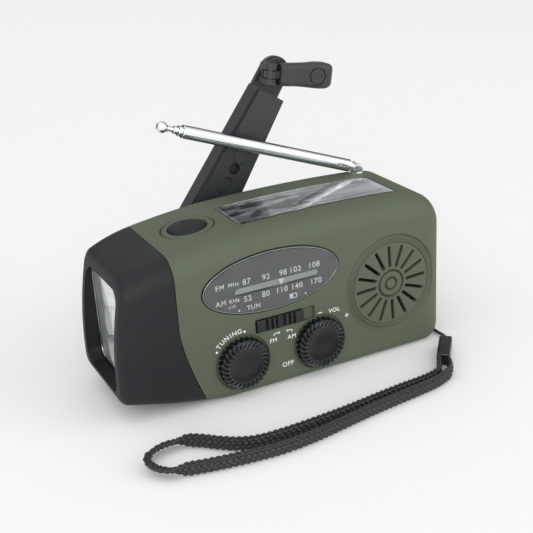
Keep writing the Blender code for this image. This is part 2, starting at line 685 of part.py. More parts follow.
def gear_train():
    far = MODULE * (DRIVE_TEETH + SMALL_TEETH) / 2 + MESH_SLACK
    near = MODULE * (IDLER_TEETH + ROTOR_TEETH) / 2 + MESH_SLACK
    idler_at = centre_at(HUB, IDLER_ANGLE, far)
    rotor_at = centre_at(idler_at, ROTOR_ANGLE, near)
    axle = frame("crank_axle_axis", (HUB[0], 0, HUB[1]))
    add("crank_axle", cylinder_mesh("crank_axle", (0, 8.5, 0), (0, 23.0, 0), 2.1, sides=16), "steel", axle)
    gear("drive_gear", DRIVE_TEETH, 0, 15.4, 18.4, "nylon", axle, 2.2)
    idler = frame("idler_axis", (idler_at[0], 0, idler_at[1]))
    small = mesh_phase(SMALL_TEETH, IDLER_ANGLE, DRIVE_TEETH, 0)
    body = gear("idler_gear", IDLER_TEETH, small, 12.0, 14.8, "nylon", idler)
    pinion = prism_mesh("idler_pinion", gear_outline(SMALL_TEETH, small), 14.6, 18.4)
    boolean(body, add("idler_pinion", pinion, None, idler), "UNION")
    cut(body, cylinder_mesh("idler_bore", (0, 8, 0), (0, 25, 0), 1.3, sides=12))
    add("idler_pin", cylinder_mesh("idler_pin", (idler_at[0], 9.5, idler_at[1]),
                                   (idler_at[0], 20.2, idler_at[1]), 1.2,
                                   sides=12), "steel")
    rotor = frame("rotor_axis", (rotor_at[0], 0, rotor_at[1]))
    phase = mesh_phase(ROTOR_TEETH, ROTOR_ANGLE, IDLER_TEETH, small)
    gear("generator_pinion", ROTOR_TEETH, phase, 12.0, 14.8, "steel", rotor)
    can = cylinder_mesh("generator", (rotor_at[0], -3, rotor_at[1]), (rotor_at[0], 11.4, rotor_at[1]), 10.5)
    add("generator", can, "steel")


# ---------- crank arm and knob ----------

def crank():
    spin = frame("crank_axis", (HUB[0], 0, HUB[1]), turn_y=-ARM_ANGLE)
    hub = add("crank_hub", cylinder_mesh("crank_hub", (0, 23.3, 0), (0, 27.2, 0), 10.2, sides=32),
              "black_plastic", spin)
    for n, side in enumerate((-1, 1)):
        ear = box_mesh(f"ear_{n}", (-3.4, 26.5, min(5.1 * side, 8.6 * side)),
                       (3.4, 33.6, max(5.1 * side, 8.6 * side)))
        boolean(hub, add(f"ear_{n}", ear, None, spin), "UNION")
    cut(hub, cylinder_mesh("flip_bore", (0, FLIP_Y, -12), (0, FLIP_Y, 12), 1.3, sides=12))
    flip = frame("crank_flip_axis", (0, FLIP_Y, 0), spin)
    pin = cylinder_mesh("flip_pin", (0, 0, -8.6), (0, 0, 8.6), 1.2, sides=12)
    add("flip_pin", pin, "steel", spin, (0, FLIP_Y, 0))
    arm(flip)
    crank_knob(flip)


def arm(flip):
    """The arm lies along its frame's +X, and its height is from the flip pin."""
    low, high = ARM_IN - FLIP_Y, ARM_OUT - FLIP_Y

    def half(s):
        return (ARM_W0 - ARM_TAPER * s) / 2

    root = [(ARM_START, -half(8)), (ARM_BODY_END, -half(ARM_BODY_END)),
            (ARM_BODY_END, half(ARM_BODY_END)),
            (ARM_START, half(8))]
    body = add("crank_arm", prism_mesh("crank_arm", root, low, high), "black_plastic", flip)
    bevel = body.modifiers.new("Edges", "BEVEL")
    bevel.width = 0.9 * MM
    bevel.segments = 2
    tongue = [(ARM_BODY_END - 3, -half(ARM_BODY_END) + 0.4),
              (ARM_BODY_END - 3, half(ARM_BODY_END) - 0.4)]
    for n in range(9):
        angle = math.radians(90 - 22.5 * n)
        tongue.append((SWIVEL_S + 5.9 * math.cos(angle), 5.9 * math.sin(angle)))
    plate = prism_mesh("tongue", tongue, 32.0 - FLIP_Y, high)
    boolean(body, add("tongue", plate, None, flip), "UNION")
    eye = cylinder_mesh("arm_eye", (0, 0, -4.7), (0, 0, 4.7), 3.1, sides=20)
    boolean(body, add("arm_eye", eye, None, flip), "UNION")
    boolean(body, add("arm_neck", box_mesh("arm_neck", (0, -3.1, -4.7), (7, 3.1, 4.7)), None, flip),
            "UNION")
    cut(body, cylinder_mesh("arm_bore", (0, 0, -12), (0, 0, 12), 1.3, sides=12))
    cut(body, cylinder_mesh("hub_relief", (0, low - 3, 0), (0, -3.3, 0), 10.9, sides=32))
    cut(body, cylinder_mesh("rivet_bore", (SWIVEL_S, 0, 0), (SWIVEL_S, 9, 0), 1.7, sides=16))
    for n, s in enumerate((34.9, 47.6)):
        groove = ring_mesh(f"arm_ring_{n}", (s, 0), 3.4, 2.7, low - 1, low + 0.5, 20)
        cut(body, groove)
    cut(body, cylinder_mesh("arm_hole", (42.2, low - 1, 0), (42.2, low + 3, 0), 2.3, sides=20))


def crank_knob(flip):
    """Swivel plate on the arm's tip, and the knob hinged on it at its left end."""
    swivel = frame("knob_swivel_axis", (SWIVEL_S, -FLIP_Y, 0), flip, ARM_ANGLE + KNOB_TILT)
    plate = [(KNOB_PIN - 1.6, -3.2), (KNOB_PIN - 1.6, 3.2)]
    for n in range(9):
        angle = math.radians(110 - 27.5 * n)
        plate.append((5.4 * math.cos(angle), 5.4 * math.sin(angle)))
    base = add("knob_swivel", prism_mesh("knob_swivel", plate, 30.1, 31.7), "black_plastic", swivel)
    for n, (low, high) in enumerate(((-3.5, -1.6), (1.6, 3.5))):
        lug = [(KNOB_PIN + LUG_R, 31.0), (KNOB_PIN + LUG_R, KNOB_PIN_Y)]
        for k in range(7):
            angle = math.radians(-30 * k)
            lug.append((KNOB_PIN + LUG_R * math.cos(angle), KNOB_PIN_Y + LUG_R * math.sin(angle)))
        lug.append((KNOB_PIN - LUG_R, 31.0))
        ear = prism_mesh(f"lug_{n}", lug[1:] + lug[:1], low, high, "Z")
        boolean(base, add(f"lug_{n}", ear, None, swivel), "UNION")
    cut(base, cylinder_mesh("pin_way", (KNOB_PIN, KNOB_PIN_Y, -9), (KNOB_PIN, KNOB_PIN_Y, 9), 1.1,
                            sides=12))
    stud = cylinder_mesh("stud", (0, 31.5, 0), (0, 34.6, 0), 1.6, sides=16)
    boolean(base, add("stud", stud, None, swivel), "UNION")
    head = cylinder_mesh("stud_head", (0, 34.4, 0), (0, 35.6, 0), 3.0, 2.4, sides=16)
    boolean(base, add("stud_head", head, None, swivel), "UNION")
    pin = cylinder_mesh("knob_pin", (0, 0, -3.5), (0, 0, 3.5), 1.0, sides=12)
    add("knob_pin", pin, "steel", swivel, (KNOB_PIN, KNOB_PIN_Y, 0))
    fold = frame("knob_fold_axis", (KNOB_PIN, KNOB_PIN_Y, 0), swivel)
    rings = []
    for s, half_z, front, back in GRIP_RINGS:
        ring = [(s, y, z) for y, z in rounded(front + back, 2 * half_z, 1.6, ((back - front) / 2, 0), 2)]
        rings.append(ring)
    grip = add("crank_knob", loft_mesh("crank_knob", rings), "black_plastic", fold)
    boolean(grip, add("grip_neck", box_mesh("grip_neck", (0, -1.9, -1.3), (5, 1.9, 1.3)), None, fold),
            "UNION")
    boolean(grip, add("grip_eye", cylinder_mesh("grip_eye", (0, 0, -1.3), (0, 0, 1.3), 2.5, sides=16),
                      None, fold), "UNION")
    cut(grip, cylinder_mesh("grip_bore", (0, 0, -9), (0, 0, 9), 1.1, sides=12))
    cut(grip, prism_mesh("plug_seat", ellipse((PLUG_S, 0), 3.3, 3.3, 8), -8, -2.4))
    add("knob_plug", prism_mesh("knob_plug", ellipse((PLUG_S, 0), 2.9, 2.9, 8), -3.1, -2.6),
        "black_plastic", fold)


# ---------- aerial ----------

def aerial():
    x, y, z = AERIAL
    swivel = frame("antenna_swivel_axis", (x, y, z))
    base = ((0, -1.7), (2.5, -1.7), (2.9, -1.9), (2.9, -2.3), (1.3, -2.3), (1.3, -7.0), (0, -7.0))
    foot = turned("antenna_base", base, "chrome", (0, 0, 0), (0, 0, 1), swivel, steps=20)
    for n, side in enumerate((-1, 1)):
        low, high = sorted((1.2 * side, 2.1 * side))
        outline = [(-1.8, -1.9), (1.8, -1.9)] + [(1.8 * math.cos(math.radians(a)),
                                                  1.8 * math.sin(math.radians(a)))
                                                  for a in range(0, 181, 30)]
        boolean(foot, add(f"fork_{n}", prism_mesh(f"fork_{n}", outline, low, high), None, swivel),
                "UNION")
    cut(foot, cylinder_mesh("fork_bore", (0, -5, 0), (0, 5, 0), 0.7, sides=10))
    add("antenna_pin", cylinder_mesh("antenna_pin", (0, -2.1, 0), (0, 2.1, 0), 0.6, sides=10), "steel",
        swivel)
    tilt = frame("antenna_tilt_axis", (0, 0, 0), swivel, 180 + AERIAL_RISE)
    for n, (outer, inner, start, end) in enumerate(TUBES):
        solid = add(f"antenna_{n + 1}", cylinder_mesh(f"antenna_{n + 1}", (start, 0, 0), (end, 0, 0),
                                                      outer, sides=16),
                    "chrome", tilt)
        bore_from = start + 3 if n == 0 else start - 2
        cut(solid, cylinder_mesh(f"antenna_bore_{n}", (bore_from, 0, 0), (end + 2, 0, 0), inner,
                                 sides=16))
    knuckle = box_mesh("knuckle", (0, -0.9, -1.3), (4.6, 0.9, 1.3))
    tube_1 = bpy.data.objects["antenna_1"]
    boolean(tube_1, add("knuckle", knuckle, None, tilt), "UNION")
    boolean(tube_1, add("knuckle_eye", cylinder_mesh("knuckle_eye", (0, -0.9, 0), (0, 0.9, 0), 1.45,
                                                     sides=14), None, tilt), "UNION")
    cut(tube_1, cylinder_mesh("knuckle_bore", (0, -5, 0), (0, 5, 0), 0.7, sides=10))
    add("antenna_4", cylinder_mesh("antenna_4", (ROD_START, 0, 0), (ROD_END, 0, 0), ROD_R, sides=12),
        "chrome", tilt)
    ball = [(2.1 * math.sin(math.radians(a)), 2.1 * math.cos(math.radians(a))) for a in range(0, 181, 22)]
    ball[-1] = (0, -2.1)
    turned("antenna_tip", ball, "chrome", (ROD_END + 0.3 + 2.1, 0, 0), (1, 0, 0), tilt, steps=14)


# ---------- strap ----------

def strap():
    knot = ((0, 1.8), (1.3, 1.3), (1.7, 0), (1.3, -1.3), (0, -1.8))
    x, y, z = CORD_ROUTE[0]
    apart = 1.8 + GAP
    centre = (x - apart * STRAP_WAY[0], y, z - apart * STRAP_WAY[1])
    turned("strap_knot", knot, "braid", centre, (STRAP_WAY[0], 0, STRAP_WAY[1]), steps=12)
    tube("strap_cord", smooth_route(CORD_ROUTE, 1.6), CORD_R, "braid")
    run = FERRULE_TO - FERRULE_FROM
    turn = math.atan2(run.y, run.x)
    ferrule = add("strap_ferrule", box_mesh("strap_ferrule", (0, -FERRULE_HALF, -FERRULE_HALF),
                                             (run.length, FERRULE_HALF, FERRULE_HALF)), "black_plastic")
    ferrule.location = FERRULE_FROM * MM
    ferrule.rotation_euler = (0, 0, turn)
    bevel = ferrule.modifiers.new("Edges", "BEVEL")
    bevel.width = 0.6 * MM
    bevel.segments = 1
    tube("strap_braid", smooth_route(BRAID_ROUTE, 3.8), BRAID_R, "braid")


def main():
    clear_scene()
    front_shell()
    back_cover()
    torch_hood()
    case_screws()
    torch()
    torch_button()
    solar()
    dial()
    controls()
    port()
    speaker()
    electronics()
    gear_train()
    crank()
    aerial()
    strap()


main()
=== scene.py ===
"""An emergency radio with a torch, a solar panel, a wind-up generator and an aerial."""
import json
import math

import bmesh
import bpy
from mathutils import Matrix, Vector


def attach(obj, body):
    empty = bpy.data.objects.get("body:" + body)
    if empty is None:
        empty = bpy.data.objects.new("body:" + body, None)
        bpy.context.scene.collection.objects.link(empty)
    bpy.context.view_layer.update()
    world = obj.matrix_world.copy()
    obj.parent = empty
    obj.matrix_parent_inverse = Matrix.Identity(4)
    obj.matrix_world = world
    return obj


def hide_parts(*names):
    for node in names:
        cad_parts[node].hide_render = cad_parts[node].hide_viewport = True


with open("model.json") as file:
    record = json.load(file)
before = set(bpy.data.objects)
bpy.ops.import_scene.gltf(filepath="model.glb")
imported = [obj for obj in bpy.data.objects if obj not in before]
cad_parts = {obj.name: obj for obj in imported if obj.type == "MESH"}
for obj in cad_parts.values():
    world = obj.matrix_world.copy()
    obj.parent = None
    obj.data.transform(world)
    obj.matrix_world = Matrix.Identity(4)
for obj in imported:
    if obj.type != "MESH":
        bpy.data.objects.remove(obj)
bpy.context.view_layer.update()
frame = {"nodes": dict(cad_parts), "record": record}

# Sizes in millimetres, in the part's own frame: X to the right, Y to the back, Z up.
MM = 0.001

# Case
END_L, END_R = -64.3, 63.5
HALF_DEPTH = 22.5
FRONT = -HALF_DEPTH
TOP_Z = 59.2
ARCH = 0.0008
ARCH_X = 12.0
FALL_START, FALL = -15.0, 3.6
WALL = 2.0
SHOULDER_FRONT, SHOULDER_BACK, BOTTOM_R = 8.0, 5.0, 4.0
END_ROUND, END_EDGE = 8.5, 2.2
END_DROP_START, END_DROP = 46.0, 2.4
SPLIT_Y = 19.5
SEAM_X, SEAM_BEND, SEAM_SWEEP = -43.0, 31.0, 9.0
SEAM_HALF = 0.15
HOOD_START, HOOD_NARROW = -43.0, 2.4
RISE_START, RISE = -26.0, 7.2
END_BULGE, BULGE_Z = 2.9, 14.0
BOSSES = ((-33, 8), (-34, 45), (48.5, 8), (55.5, 45))
FLARE = 0.35

# Torch
LENS_Y, LENS_Z0, LENS_Z1, LENS_R = 15.8, 10.0, 46.5, 5.0
LENS_X = -59.1
LED_Z = (17.0, 28.0, 39.0)
BUTTON = (-28.0, 0.5)
BUTTON_R = 6.8

# Front
SOLAR = (-13.8, 49.6, -11.6, 9.6)
DIAL = (-8.0, 40.9)
DIAL_AXES = (26.1, 11.1)
BAR_X0, BAR_X1, BAR_Z = -22.0, 10.0, 39.4
BAR_HALF = 1.35
POINTER_X = -4.5
TUNING = (-20.8, 13.2)
VOLUME = (9.2, 12.9)
KNOB_R = 9.4
SWITCH = (-15.3, 7.8, 22.5, 27.5)
SPEAKER = (39.6, 27.8)
SPEAKER_R = 18.6
PORT_Z = 22.0

# Crank
HUB = (-21.1, 31.0)
ARM_ANGLE = math.radians(55.7)
ARM_IN, ARM_OUT = 26.0, 34.0
FLIP_Y = 30.8
HINGE_BORE, FOLD_BORE = 1.3, 1.1
ARM_START, ARM_W0, ARM_TAPER = 4.6, 20.4, 0.103
ARM_BODY_END, SWIVEL_S = 72.9, 81.0
KNOB_TILT = math.radians(9.6)
KNOB_PIN, KNOB_PIN_Y, LUG_R = -4.5, 26.6, 2.4
PLUG_S = 18.4
LUG_INNER, LUG_OUTER = 1.6, 3.9
GRIP_RINGS = ((3.0, 4.0, 2.9, 2.9), (6.0, 4.2, 3.3, 2.9), (10.0, 4.3, 2.4, 2.9), (14.5, 4.5, 2.7, 3.2),
              (19.0, 4.8, 3.2, 4.2), (23.0, 4.7, 3.1, 4.2), (24.8, 4.1, 2.4, 3.6))
PLUG_R = 3.1

# Aerial
AERIAL = Vector((50.1, 17.6, 59.7))
AERIAL_RISE = math.radians(20.5)
AERIAL_SEAT_R, AERIAL_SEAT_Z = 3.2, 57.1
AERIAL_BORE = 0.7
TUBES = ((2.4, 2.05, 3.4, 75.0), (1.9, 1.55, 12.0, 76.6), (1.4, 1.1, 14.0, 78.4))
ROD_R, ROD_START, ROD_END = 0.95, 16.0, 80.3

# Strap
STRAP_Y = -12.0
STRAP_OUT = (61.3, 3.1)
STRAP_WAY = (0.759, -0.651)
CORD_R = 0.6
BRAID_HALF, BRAID_THICK = 2.45, 0.95
FERRULE_FROM = Vector((58.0, -30.6, 2.8))
FERRULE_TO = Vector((48.6, -42.0, 2.8))
FERRULE_HALF = 2.4
CORD_ROUTE = ((54.1, -12.0, 9.3), (56.6, -12.0, 7.2), (59.05, -12.0, 5.1), (61.4, -12.1, 3.15),
              (62.3, -12.9, 2.1), (62.5, -14.6, 1.35), (62.2, -17.0, 1.0), (62.1, -19.8, 0.95),
              (62.1, -22.4, 1.1), (61.5, -24.8, 1.6), (60.3, -27.4, 2.3), (58.3, -30.25, 2.8))
BRAID_ROUTE = ((47.2, -41.6, 2.8), (45.3, -44.2, 2.8), (43.2, -47.2, 2.8), (40.5, -49.3, 2.8),
               (37.0, -50.5, 2.8), (31.8, -51.2, 2.8), (24.0, -51.7, 2.8), (17.0, -52.4, 2.8),
               (8.0, -53.5, 2.8), (-4.0, -54.7, 2.8), (-16.0, -55.4, 2.8), (-26.0, -55.5, 2.8),
               (-32.5, -54.9, 2.8), (-38.2, -52.6, 2.8), (-43.0, -48.9, 2.8), (-48.2, -44.2, 2.8),
               (-53.0, -41.4, 2.8), (-58.0, -40.9, 2.8), (-62.4, -42.2, 2.8), (-65.4, -45.2, 2.8),
               (-66.2, -48.8, 2.8), (-65.0, -52.6, 2.8), (-61.4, -55.9, 2.8), (-54.0, -58.2, 2.8),
               (-45.0, -60.1, 2.8), (-34.0, -61.6, 2.8), (-25.0, -62.1, 2.8), (-14.0, -61.3, 2.8),
               (-3.0, -59.5, 2.8), (8.0, -57.6, 2.8), (19.0, -56.1, 2.8), (28.0, -55.0, 2.8),
               (36.0, -53.9, 2.8), (41.5, -52.3, 2.8), (45.6, -50.2, 2.8), (48.3, -46.6, 2.8),
               (49.45, -43.35, 2.8))
PLAIT_STEP = 0.3

# Light: how bright the sky is behind the object, and above and in front of it.
SKY_BEHIND, SKY_FRONT = 0.34, 1.12


# ---------- materials ----------

def node(material, kind, **values):
    """A new shader node; each value goes to the input of that name."""
    made = material.node_tree.nodes.new("ShaderNode" + kind)
    for name, value in values.items():
        made.inputs[name.replace("_", " ")].default_value = value
    return made


def link(material, source, target):
    material.node_tree.links.new(source, target)


def shader_of(material, **values):
    """The material's own Principled shader, with these inputs set."""
    shader = material.node_tree.nodes["Principled BSDF"]
    for name, value in values.items():
        shader.inputs[name.replace("_", " ")].default_value = value
    return shader


def shade(colour, factor):
    return (*(min(1.0, part * factor) for part in colour), 1.0)


def noise(material, scale, detail, roughness=0.5, stretch=None, turn=0.0):
    """Cloudy noise over the object's own coordinates, which can be stretched and turned."""
    place = node(material, "TexCoord").outputs["Object"]
    if stretch:
        mapping = node(material, "Mapping", Scale=stretch, Rotation=(0.0, 0.0, math.radians(turn)))
        link(material, place, mapping.inputs["Vector"])
        place = mapping.outputs["Vector"]
    clouds = node(material, "TexNoise", Scale=scale, Detail=detail, Roughness=roughness)
    link(material, place, clouds.inputs["Vector"])
    return clouds.outputs["Fac"]


def ranged(material, source, **limits):
    """The source stretched from one range to another."""
    spread = node(material, "MapRange", **limits)
    link(material, source, spread.inputs["Value"])
    return spread.outputs["Result"]


def mixed(material, factor, first, second):
    """A mix of two colours; the first one may be another node's output."""
    mix = material.node_tree.nodes.new("ShaderNodeMix")
    mix.data_type = "RGBA"
    if isinstance(first, tuple):
        mix.inputs["A"].default_value = first
    else:
        link(material, first, mix.inputs["A"])
    mix.inputs["B"].default_value = second
    link(material, factor, mix.inputs["Factor"])
    return mix.outputs["Result"]


def ramp(material, source, low, high):
    """A ramp between two (position, colour) ends."""
    made = material.node_tree.nodes.new("ShaderNodeValToRGB")
    for element, (position, colour) in zip(made.color_ramp.elements, (low, high)):
        element.position = position
        element.color = colour
    link(material, source, made.inputs["Fac"])
    return made.outputs["Color"]


def surface(name, colour, roughness, metallic=0.0, blotch=0.06, grain=0.0, grain_mm=0.4, **more):
    """A moulded or metal surface: cloudy colour and roughness, and a fine grain in the normal."""
    material = bpy.data.materials.new(name)
    material.use_nodes = True
    shader = shader_of(material, Metallic=metallic, **more)
    clouds = noise(material, 70.0, 4.0)
    tint = mixed(material, clouds, shade(colour, 1 - blotch), shade(colour, 1 + blotch))
    link(material, tint, shader.inputs["Base Color"])
    wear = ranged(material, clouds, To_Min=roughness * 0.85, To_Max=min(1.0, roughness * 1.15))
    link(material, wear, shader.inputs["Roughness"])
    if grain:
        bump = node(material, "Bump", Strength=grain, Distance=0.25 * grain_mm * MM)
        link(material, noise(material, 1000.0 / grain_mm, 3.0), bump.inputs["Height"])
        link(material, bump.outputs["Normal"], shader.inputs["Normal"])
    return material


def tube_chrome():
    """Polished tube with a painted reflection: its base colour is painted dark near its outline, as if it
    mirrored a dark surround.
    """
    material = surface("tube_chrome", (0.86, 0.88, 0.9), 0.07, metallic=1.0, blotch=0.02)
    # Painted reflection: the base colour goes from near white to near black where the surface turns away from
    # the view.
    facing = node(material, "LayerWeight", Blend=0.5).outputs["Facing"]
    colour = ramp(material, facing, (0.48, (0.88, 0.9, 0.92, 1)), (0.62, (0.02, 0.026, 0.034, 1)))
    link(material, colour, shader_of(material).inputs["Base Color"])
    return material


def solar_film():
    """Silvery film over dark cells: streaks along the length, and dark patches at the torch end."""
    material = surface("solar", (0.5, 0.55, 0.58), 0.22, metallic=0.25, Coat_Weight=0.6, Coat_Roughness=0.05)
    streaks = noise(material, 2.4, 5.0, 0.55, (12.0, 95.0, 1.0), -7)
    film = ramp(material, streaks, (0.38, (0.28, 0.32, 0.35, 1)), (0.6, (0.74, 0.8, 0.83, 1)))
    split = node(material, "SeparateXYZ")
    link(material, node(material, "TexCoord").outputs["Object"], split.inputs["Vector"])
    start, end = ((SOLAR[0] + share * (SOLAR[1] - SOLAR[0])) * MM for share in (0.72, 0.4))
    toward = ranged(material, split.outputs["X"], From_Min=start, From_Max=end)
    patches = noise(material, 1.0, 2.0, 0.6, (60.0, 190.0, 1.0), -24)
    both = material.node_tree.nodes.new("ShaderNodeMath")
    both.operation = "MULTIPLY"
    link(material, toward, both.inputs[0])
    link(material, ranged(material, patches, From_Min=0.47, From_Max=0.51), both.inputs[1])
    colour = mixed(material, both.outputs[0], film, (0.035, 0.04, 0.045, 1))
    link(material, colour, shader_of(material).inputs["Base Color"])
    return material


# Colour, roughness and the rest of each finish.
FINISHES = {
    "olive_plastic": ((0.081, 0.102, 0.066), 0.56, dict(blotch=0.035, grain=0.22, grain_mm=0.35,
                                                        Specular_IOR_Level=0.35)),
    "black_plastic": ((0.011, 0.012, 0.0135), 0.36, dict(blotch=0.12, grain=0.12, grain_mm=0.3)),
    "black_rubber": ((0.0105, 0.012, 0.0145), 0.56, dict(blotch=0.08, grain=0.25, grain_mm=0.3,
                                                         Specular_IOR_Level=0.3)),
    "clear_plastic": ((0.97, 0.98, 0.98), 0.03, dict(blotch=0.01, grain=0.03, grain_mm=4.0,
                                                     Transmission_Weight=1.0, IOR=1.46)),
    "chrome": ((0.8, 0.82, 0.84), 0.1, dict(metallic=1.0, blotch=0.03, grain=0.03, grain_mm=1.5)),
    "steel": ((0.5, 0.51, 0.53), 0.3, dict(metallic=1.0, blotch=0.08, grain=0.1, grain_mm=0.2)),
    "led_clear": ((0.9, 0.92, 0.88), 0.06, dict(blotch=0.04, Transmission_Weight=0.7, IOR=1.5)),
    "dial": ((0.036, 0.041, 0.046), 0.32, dict(blotch=0.05, grain=0.04, grain_mm=0.5, Coat_Weight=0.3,
                                               Coat_Roughness=0.12)),
    "white_plastic": ((0.8, 0.82, 0.82), 0.45, dict(blotch=0.03, grain=0.05)),
    "board": ((0.02, 0.12, 0.05), 0.4, dict(blotch=0.2, grain=0.1, grain_mm=1.0)),
    "battery": ((0.06, 0.16, 0.36), 0.3, dict(blotch=0.08, Coat_Weight=0.4)),
    "paper": ((0.03, 0.03, 0.032), 0.9, dict(blotch=0.2, grain=0.5, grain_mm=0.5)),
    "nylon": ((0.68, 0.66, 0.58), 0.45, dict(blotch=0.06, grain=0.05)),
    "ferrite": ((0.045, 0.045, 0.05), 0.65, dict(blotch=0.2, grain=0.3, grain_mm=0.3)),
    "braid": ((0.012, 0.0135, 0.016), 0.38, dict(blotch=0.3, grain=0.6, grain_mm=0.16, Sheen_Weight=0.15,
                                                 Sheen_Roughness=0.35)),
    "light_strip": ((0.36, 0.4, 0.4), 0.5, dict(blotch=0.04)),
    "rim_metal": ((0.3, 0.31, 0.33), 0.25, dict(metallic=1.0, blotch=0.05)),
    "knob_plastic": ((0.007, 0.008, 0.0095), 0.24, dict(blotch=0.12, grain=0.08, grain_mm=0.3)),
    # Lighter copy of the black plastic for the crank's hub, arm, swivel and grip: painted light standing in
    # for the sheen they show.
    "crank_plastic_lit": ((0.024, 0.027, 0.03), 0.36, dict(blotch=0.12, grain=0.35, grain_mm=0.35)),
    # Near-white, mostly non-metallic finish for the silvered reflector: partly its own silver, partly a
    # painted reflection that keeps it bright where chrome would mirror the dark hood.
    "reflector": ((0.95, 0.96, 0.97), 0.22, dict(metallic=0.3, blotch=0.02, grain=0.7, grain_mm=3.2,
                                                 Coat_Weight=0.8, Coat_Roughness=0.06)),
}
MATERIALS = {name: surface(name, colour, roughness, **more)
             for name, (colour, roughness, more) in FINISHES.items()}
MATERIALS["tube_chrome"] = tube_chrome()
MATERIALS["solar"] = solar_film()


def finish_cad_nodes():
    """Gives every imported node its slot's material."""
    for subpart in frame["record"]["subparts"]:
        obj = frame["nodes"][subpart["node"]]
        for spot in obj.material_slots:
            spot.material = MATERIALS[subpart["material_slot"]]


# ---------- mesh helpers ----------

def to_mesh(bm, name, matrix=None):
    """The finished mesh in metres, its faces turned outward."""
    bmesh.ops.recalc_face_normals(bm, faces=bm.faces)
    if matrix is not None:
        bm.transform(matrix)
    bm.transform(Matrix.Scale(MM, 4))
    mesh = bpy.data.meshes.new(name)
    bm.to_mesh(mesh)
    bm.free()
    return mesh


def loft(name, rings, rungs=None, matrix=None, closed=False):
    """Rings joined in order; the ends are closed by one face, or by faces between the rungs."""
    bm = bmesh.new()
    rows = [[bm.verts.new(point) for point in ring] for ring in rings]
    following = rows[1:] + (rows[:1] if closed else [])
    for row, after in zip(rows, following):
        for i in range(len(row)):
            j = (i + 1) % len(row)
            bm.faces.new((row[i], row[j], after[j], after[i]))
    for row in () if closed else (rows[0], rows[-1]):
        if rungs is None:
            bm.faces.new(row)
            continue
        for (a, b), (c, d) in zip(rungs, rungs[1:]):
            bm.faces.new((row[a], row[b], row[d], row[c]))
    return to_mesh(bm, name, matrix)


def placed(outline, depth, axis):
    """An outline in the plane across an axis, as points at that depth."""
    if axis == "X":
        return [(depth, a, b) for a, b in outline]
    if axis == "Y":
        return [(a, depth, b) for a, b in outline]
    return [(a, b, depth) for a, b in outline]


def prism(name, outline, low, high, axis="Y", matrix=None):
    return loft(name, [placed(outline, low, axis), placed(outline, high, axis)], matrix=matrix)


def box(name, low, high, matrix=None):
    outline = [(low[0], low[2]), (high[0], low[2]), (high[0], high[2]), (low[0], high[2])]
    return prism(name, outline, low[1], high[1], "Y", matrix)


def sunk(name, outline, face, depth, axis="Y", flare=FLARE, out=2.0):
    """A cutter for an opening whose mouth is rounded out by the flare. Positive depth is along +axis."""
    way = math.copysign(1, depth)
    rings = [placed(outline(flare), face - way * out, axis)]
    for degrees in (0, 30, 60, 90):
        bend = math.radians(degrees)
        mouth = flare * (1 - math.sin(bend))
        rings.append(placed(outline(mouth), face + way * flare * (1 - math.cos(bend)), axis))
    rings.append(placed(outline(0), face + depth, axis))
    return loft(name, rings)


def arc(centre, radius, start, step, count):
    """Points round a centre: so many of them, from one angle on, by steps in degrees."""
    angles = [math.radians(start + step * n) for n in range(count)]
    return [(centre[0] + radius * math.cos(a), centre[1] + radius * math.sin(a)) for a in angles]


def ellipse(centre, a, b, sides=48):
    turns = [2 * math.pi * i / sides for i in range(sides)]
    return [(centre[0] + a * math.cos(t), centre[1] + b * math.sin(t)) for t in turns]


def round_hole(centre, radius, sides=48):
    return ellipse(centre, radius, radius, sides)


def rounded(width, height, radius, centre=(0, 0), steps=6):
    """Outline of a rounded rectangle."""
    points = []
    for sx, sy, start in ((1, 1, 0), (-1, 1, 90), (-1, -1, 180), (1, -1, 270)):
        corner = (centre[0] + sx * (width / 2 - radius), centre[1] + sy * (height / 2 - radius))
        points += arc(corner, radius, start, 90 / steps, steps + 1)
    return points


def growing_round(centre, radius, sides=48):
    """A round outline, as a function of how far it grows."""
    return lambda grow: round_hole(centre, radius + grow, sides)


def growing_box(width, height, radius, centre):
    """A rounded rectangle, as a function of how far it grows."""
    return lambda grow: rounded(width + 2 * grow, height + 2 * grow, radius + grow, centre)


def along(axis):
    return Vector(axis).to_track_quat("Z", "Y").to_matrix().to_4x4()


def at(x, y, z):
    return Matrix.Translation((x, y, z))


def turned(name, profile, matrix, steps=48, relief=None, closed=False):
    """A (radius, height) profile turned about Z; relief gives each point's own (outward, up) shift."""
    bm = bmesh.new()
    rows = []
    for radius, height in profile:
        if radius == 0:
            rows.append([bm.verts.new((0, 0, height))])
            continue
        row = []
        for i in range(steps):
            angle = 2 * math.pi * i / steps
            outward, up = relief(radius, height, angle) if relief else (0, 0)
            reach = radius + outward
            row.append(bm.verts.new((reach * math.cos(angle), reach * math.sin(angle), height + up)))
        rows.append(row)
    following = rows[1:] + (rows[:1] if closed else [])
    for row, after in zip(rows, following):
        for i in range(steps):
            j = (i + 1) % steps
            corners = (row[i % len(row)], row[j % len(row)], after[j % len(after)], after[i % len(after)])
            bm.faces.new(dict.fromkeys(corners))
    return to_mesh(bm, name, matrix)


def carve(mesh, *tools, operation="DIFFERENCE"):
    """The mesh with every tool cut from it, or joined to it."""
    collection = bpy.context.scene.collection
    body = bpy.data.objects.new(mesh.name, mesh)
    collection.objects.link(body)
    helpers = [body]
    for tool in tools:
        helper = bpy.data.objects.new(tool.name, tool)
        collection.objects.link(helper)
        helpers.append(helper)
        modifier = body.modifiers.new(tool.name, "BOOLEAN")
        modifier.operation = operation
        modifier.object = helper
    evaluated = body.evaluated_get(bpy.context.evaluated_depsgraph_get())
    result = bpy.data.meshes.new_from_object(evaluated)
    result.name = mesh.name
    for helper in helpers:
        bpy.data.objects.remove(helper)
    return result


def joined(name, meshes):
    """Separate meshes as one."""
    bm = bmesh.new()
    for mesh in meshes:
        bm.from_mesh(mesh)
    result = bpy.data.meshes.new(name)
    bm.to_mesh(result)
    bm.free()
    return result


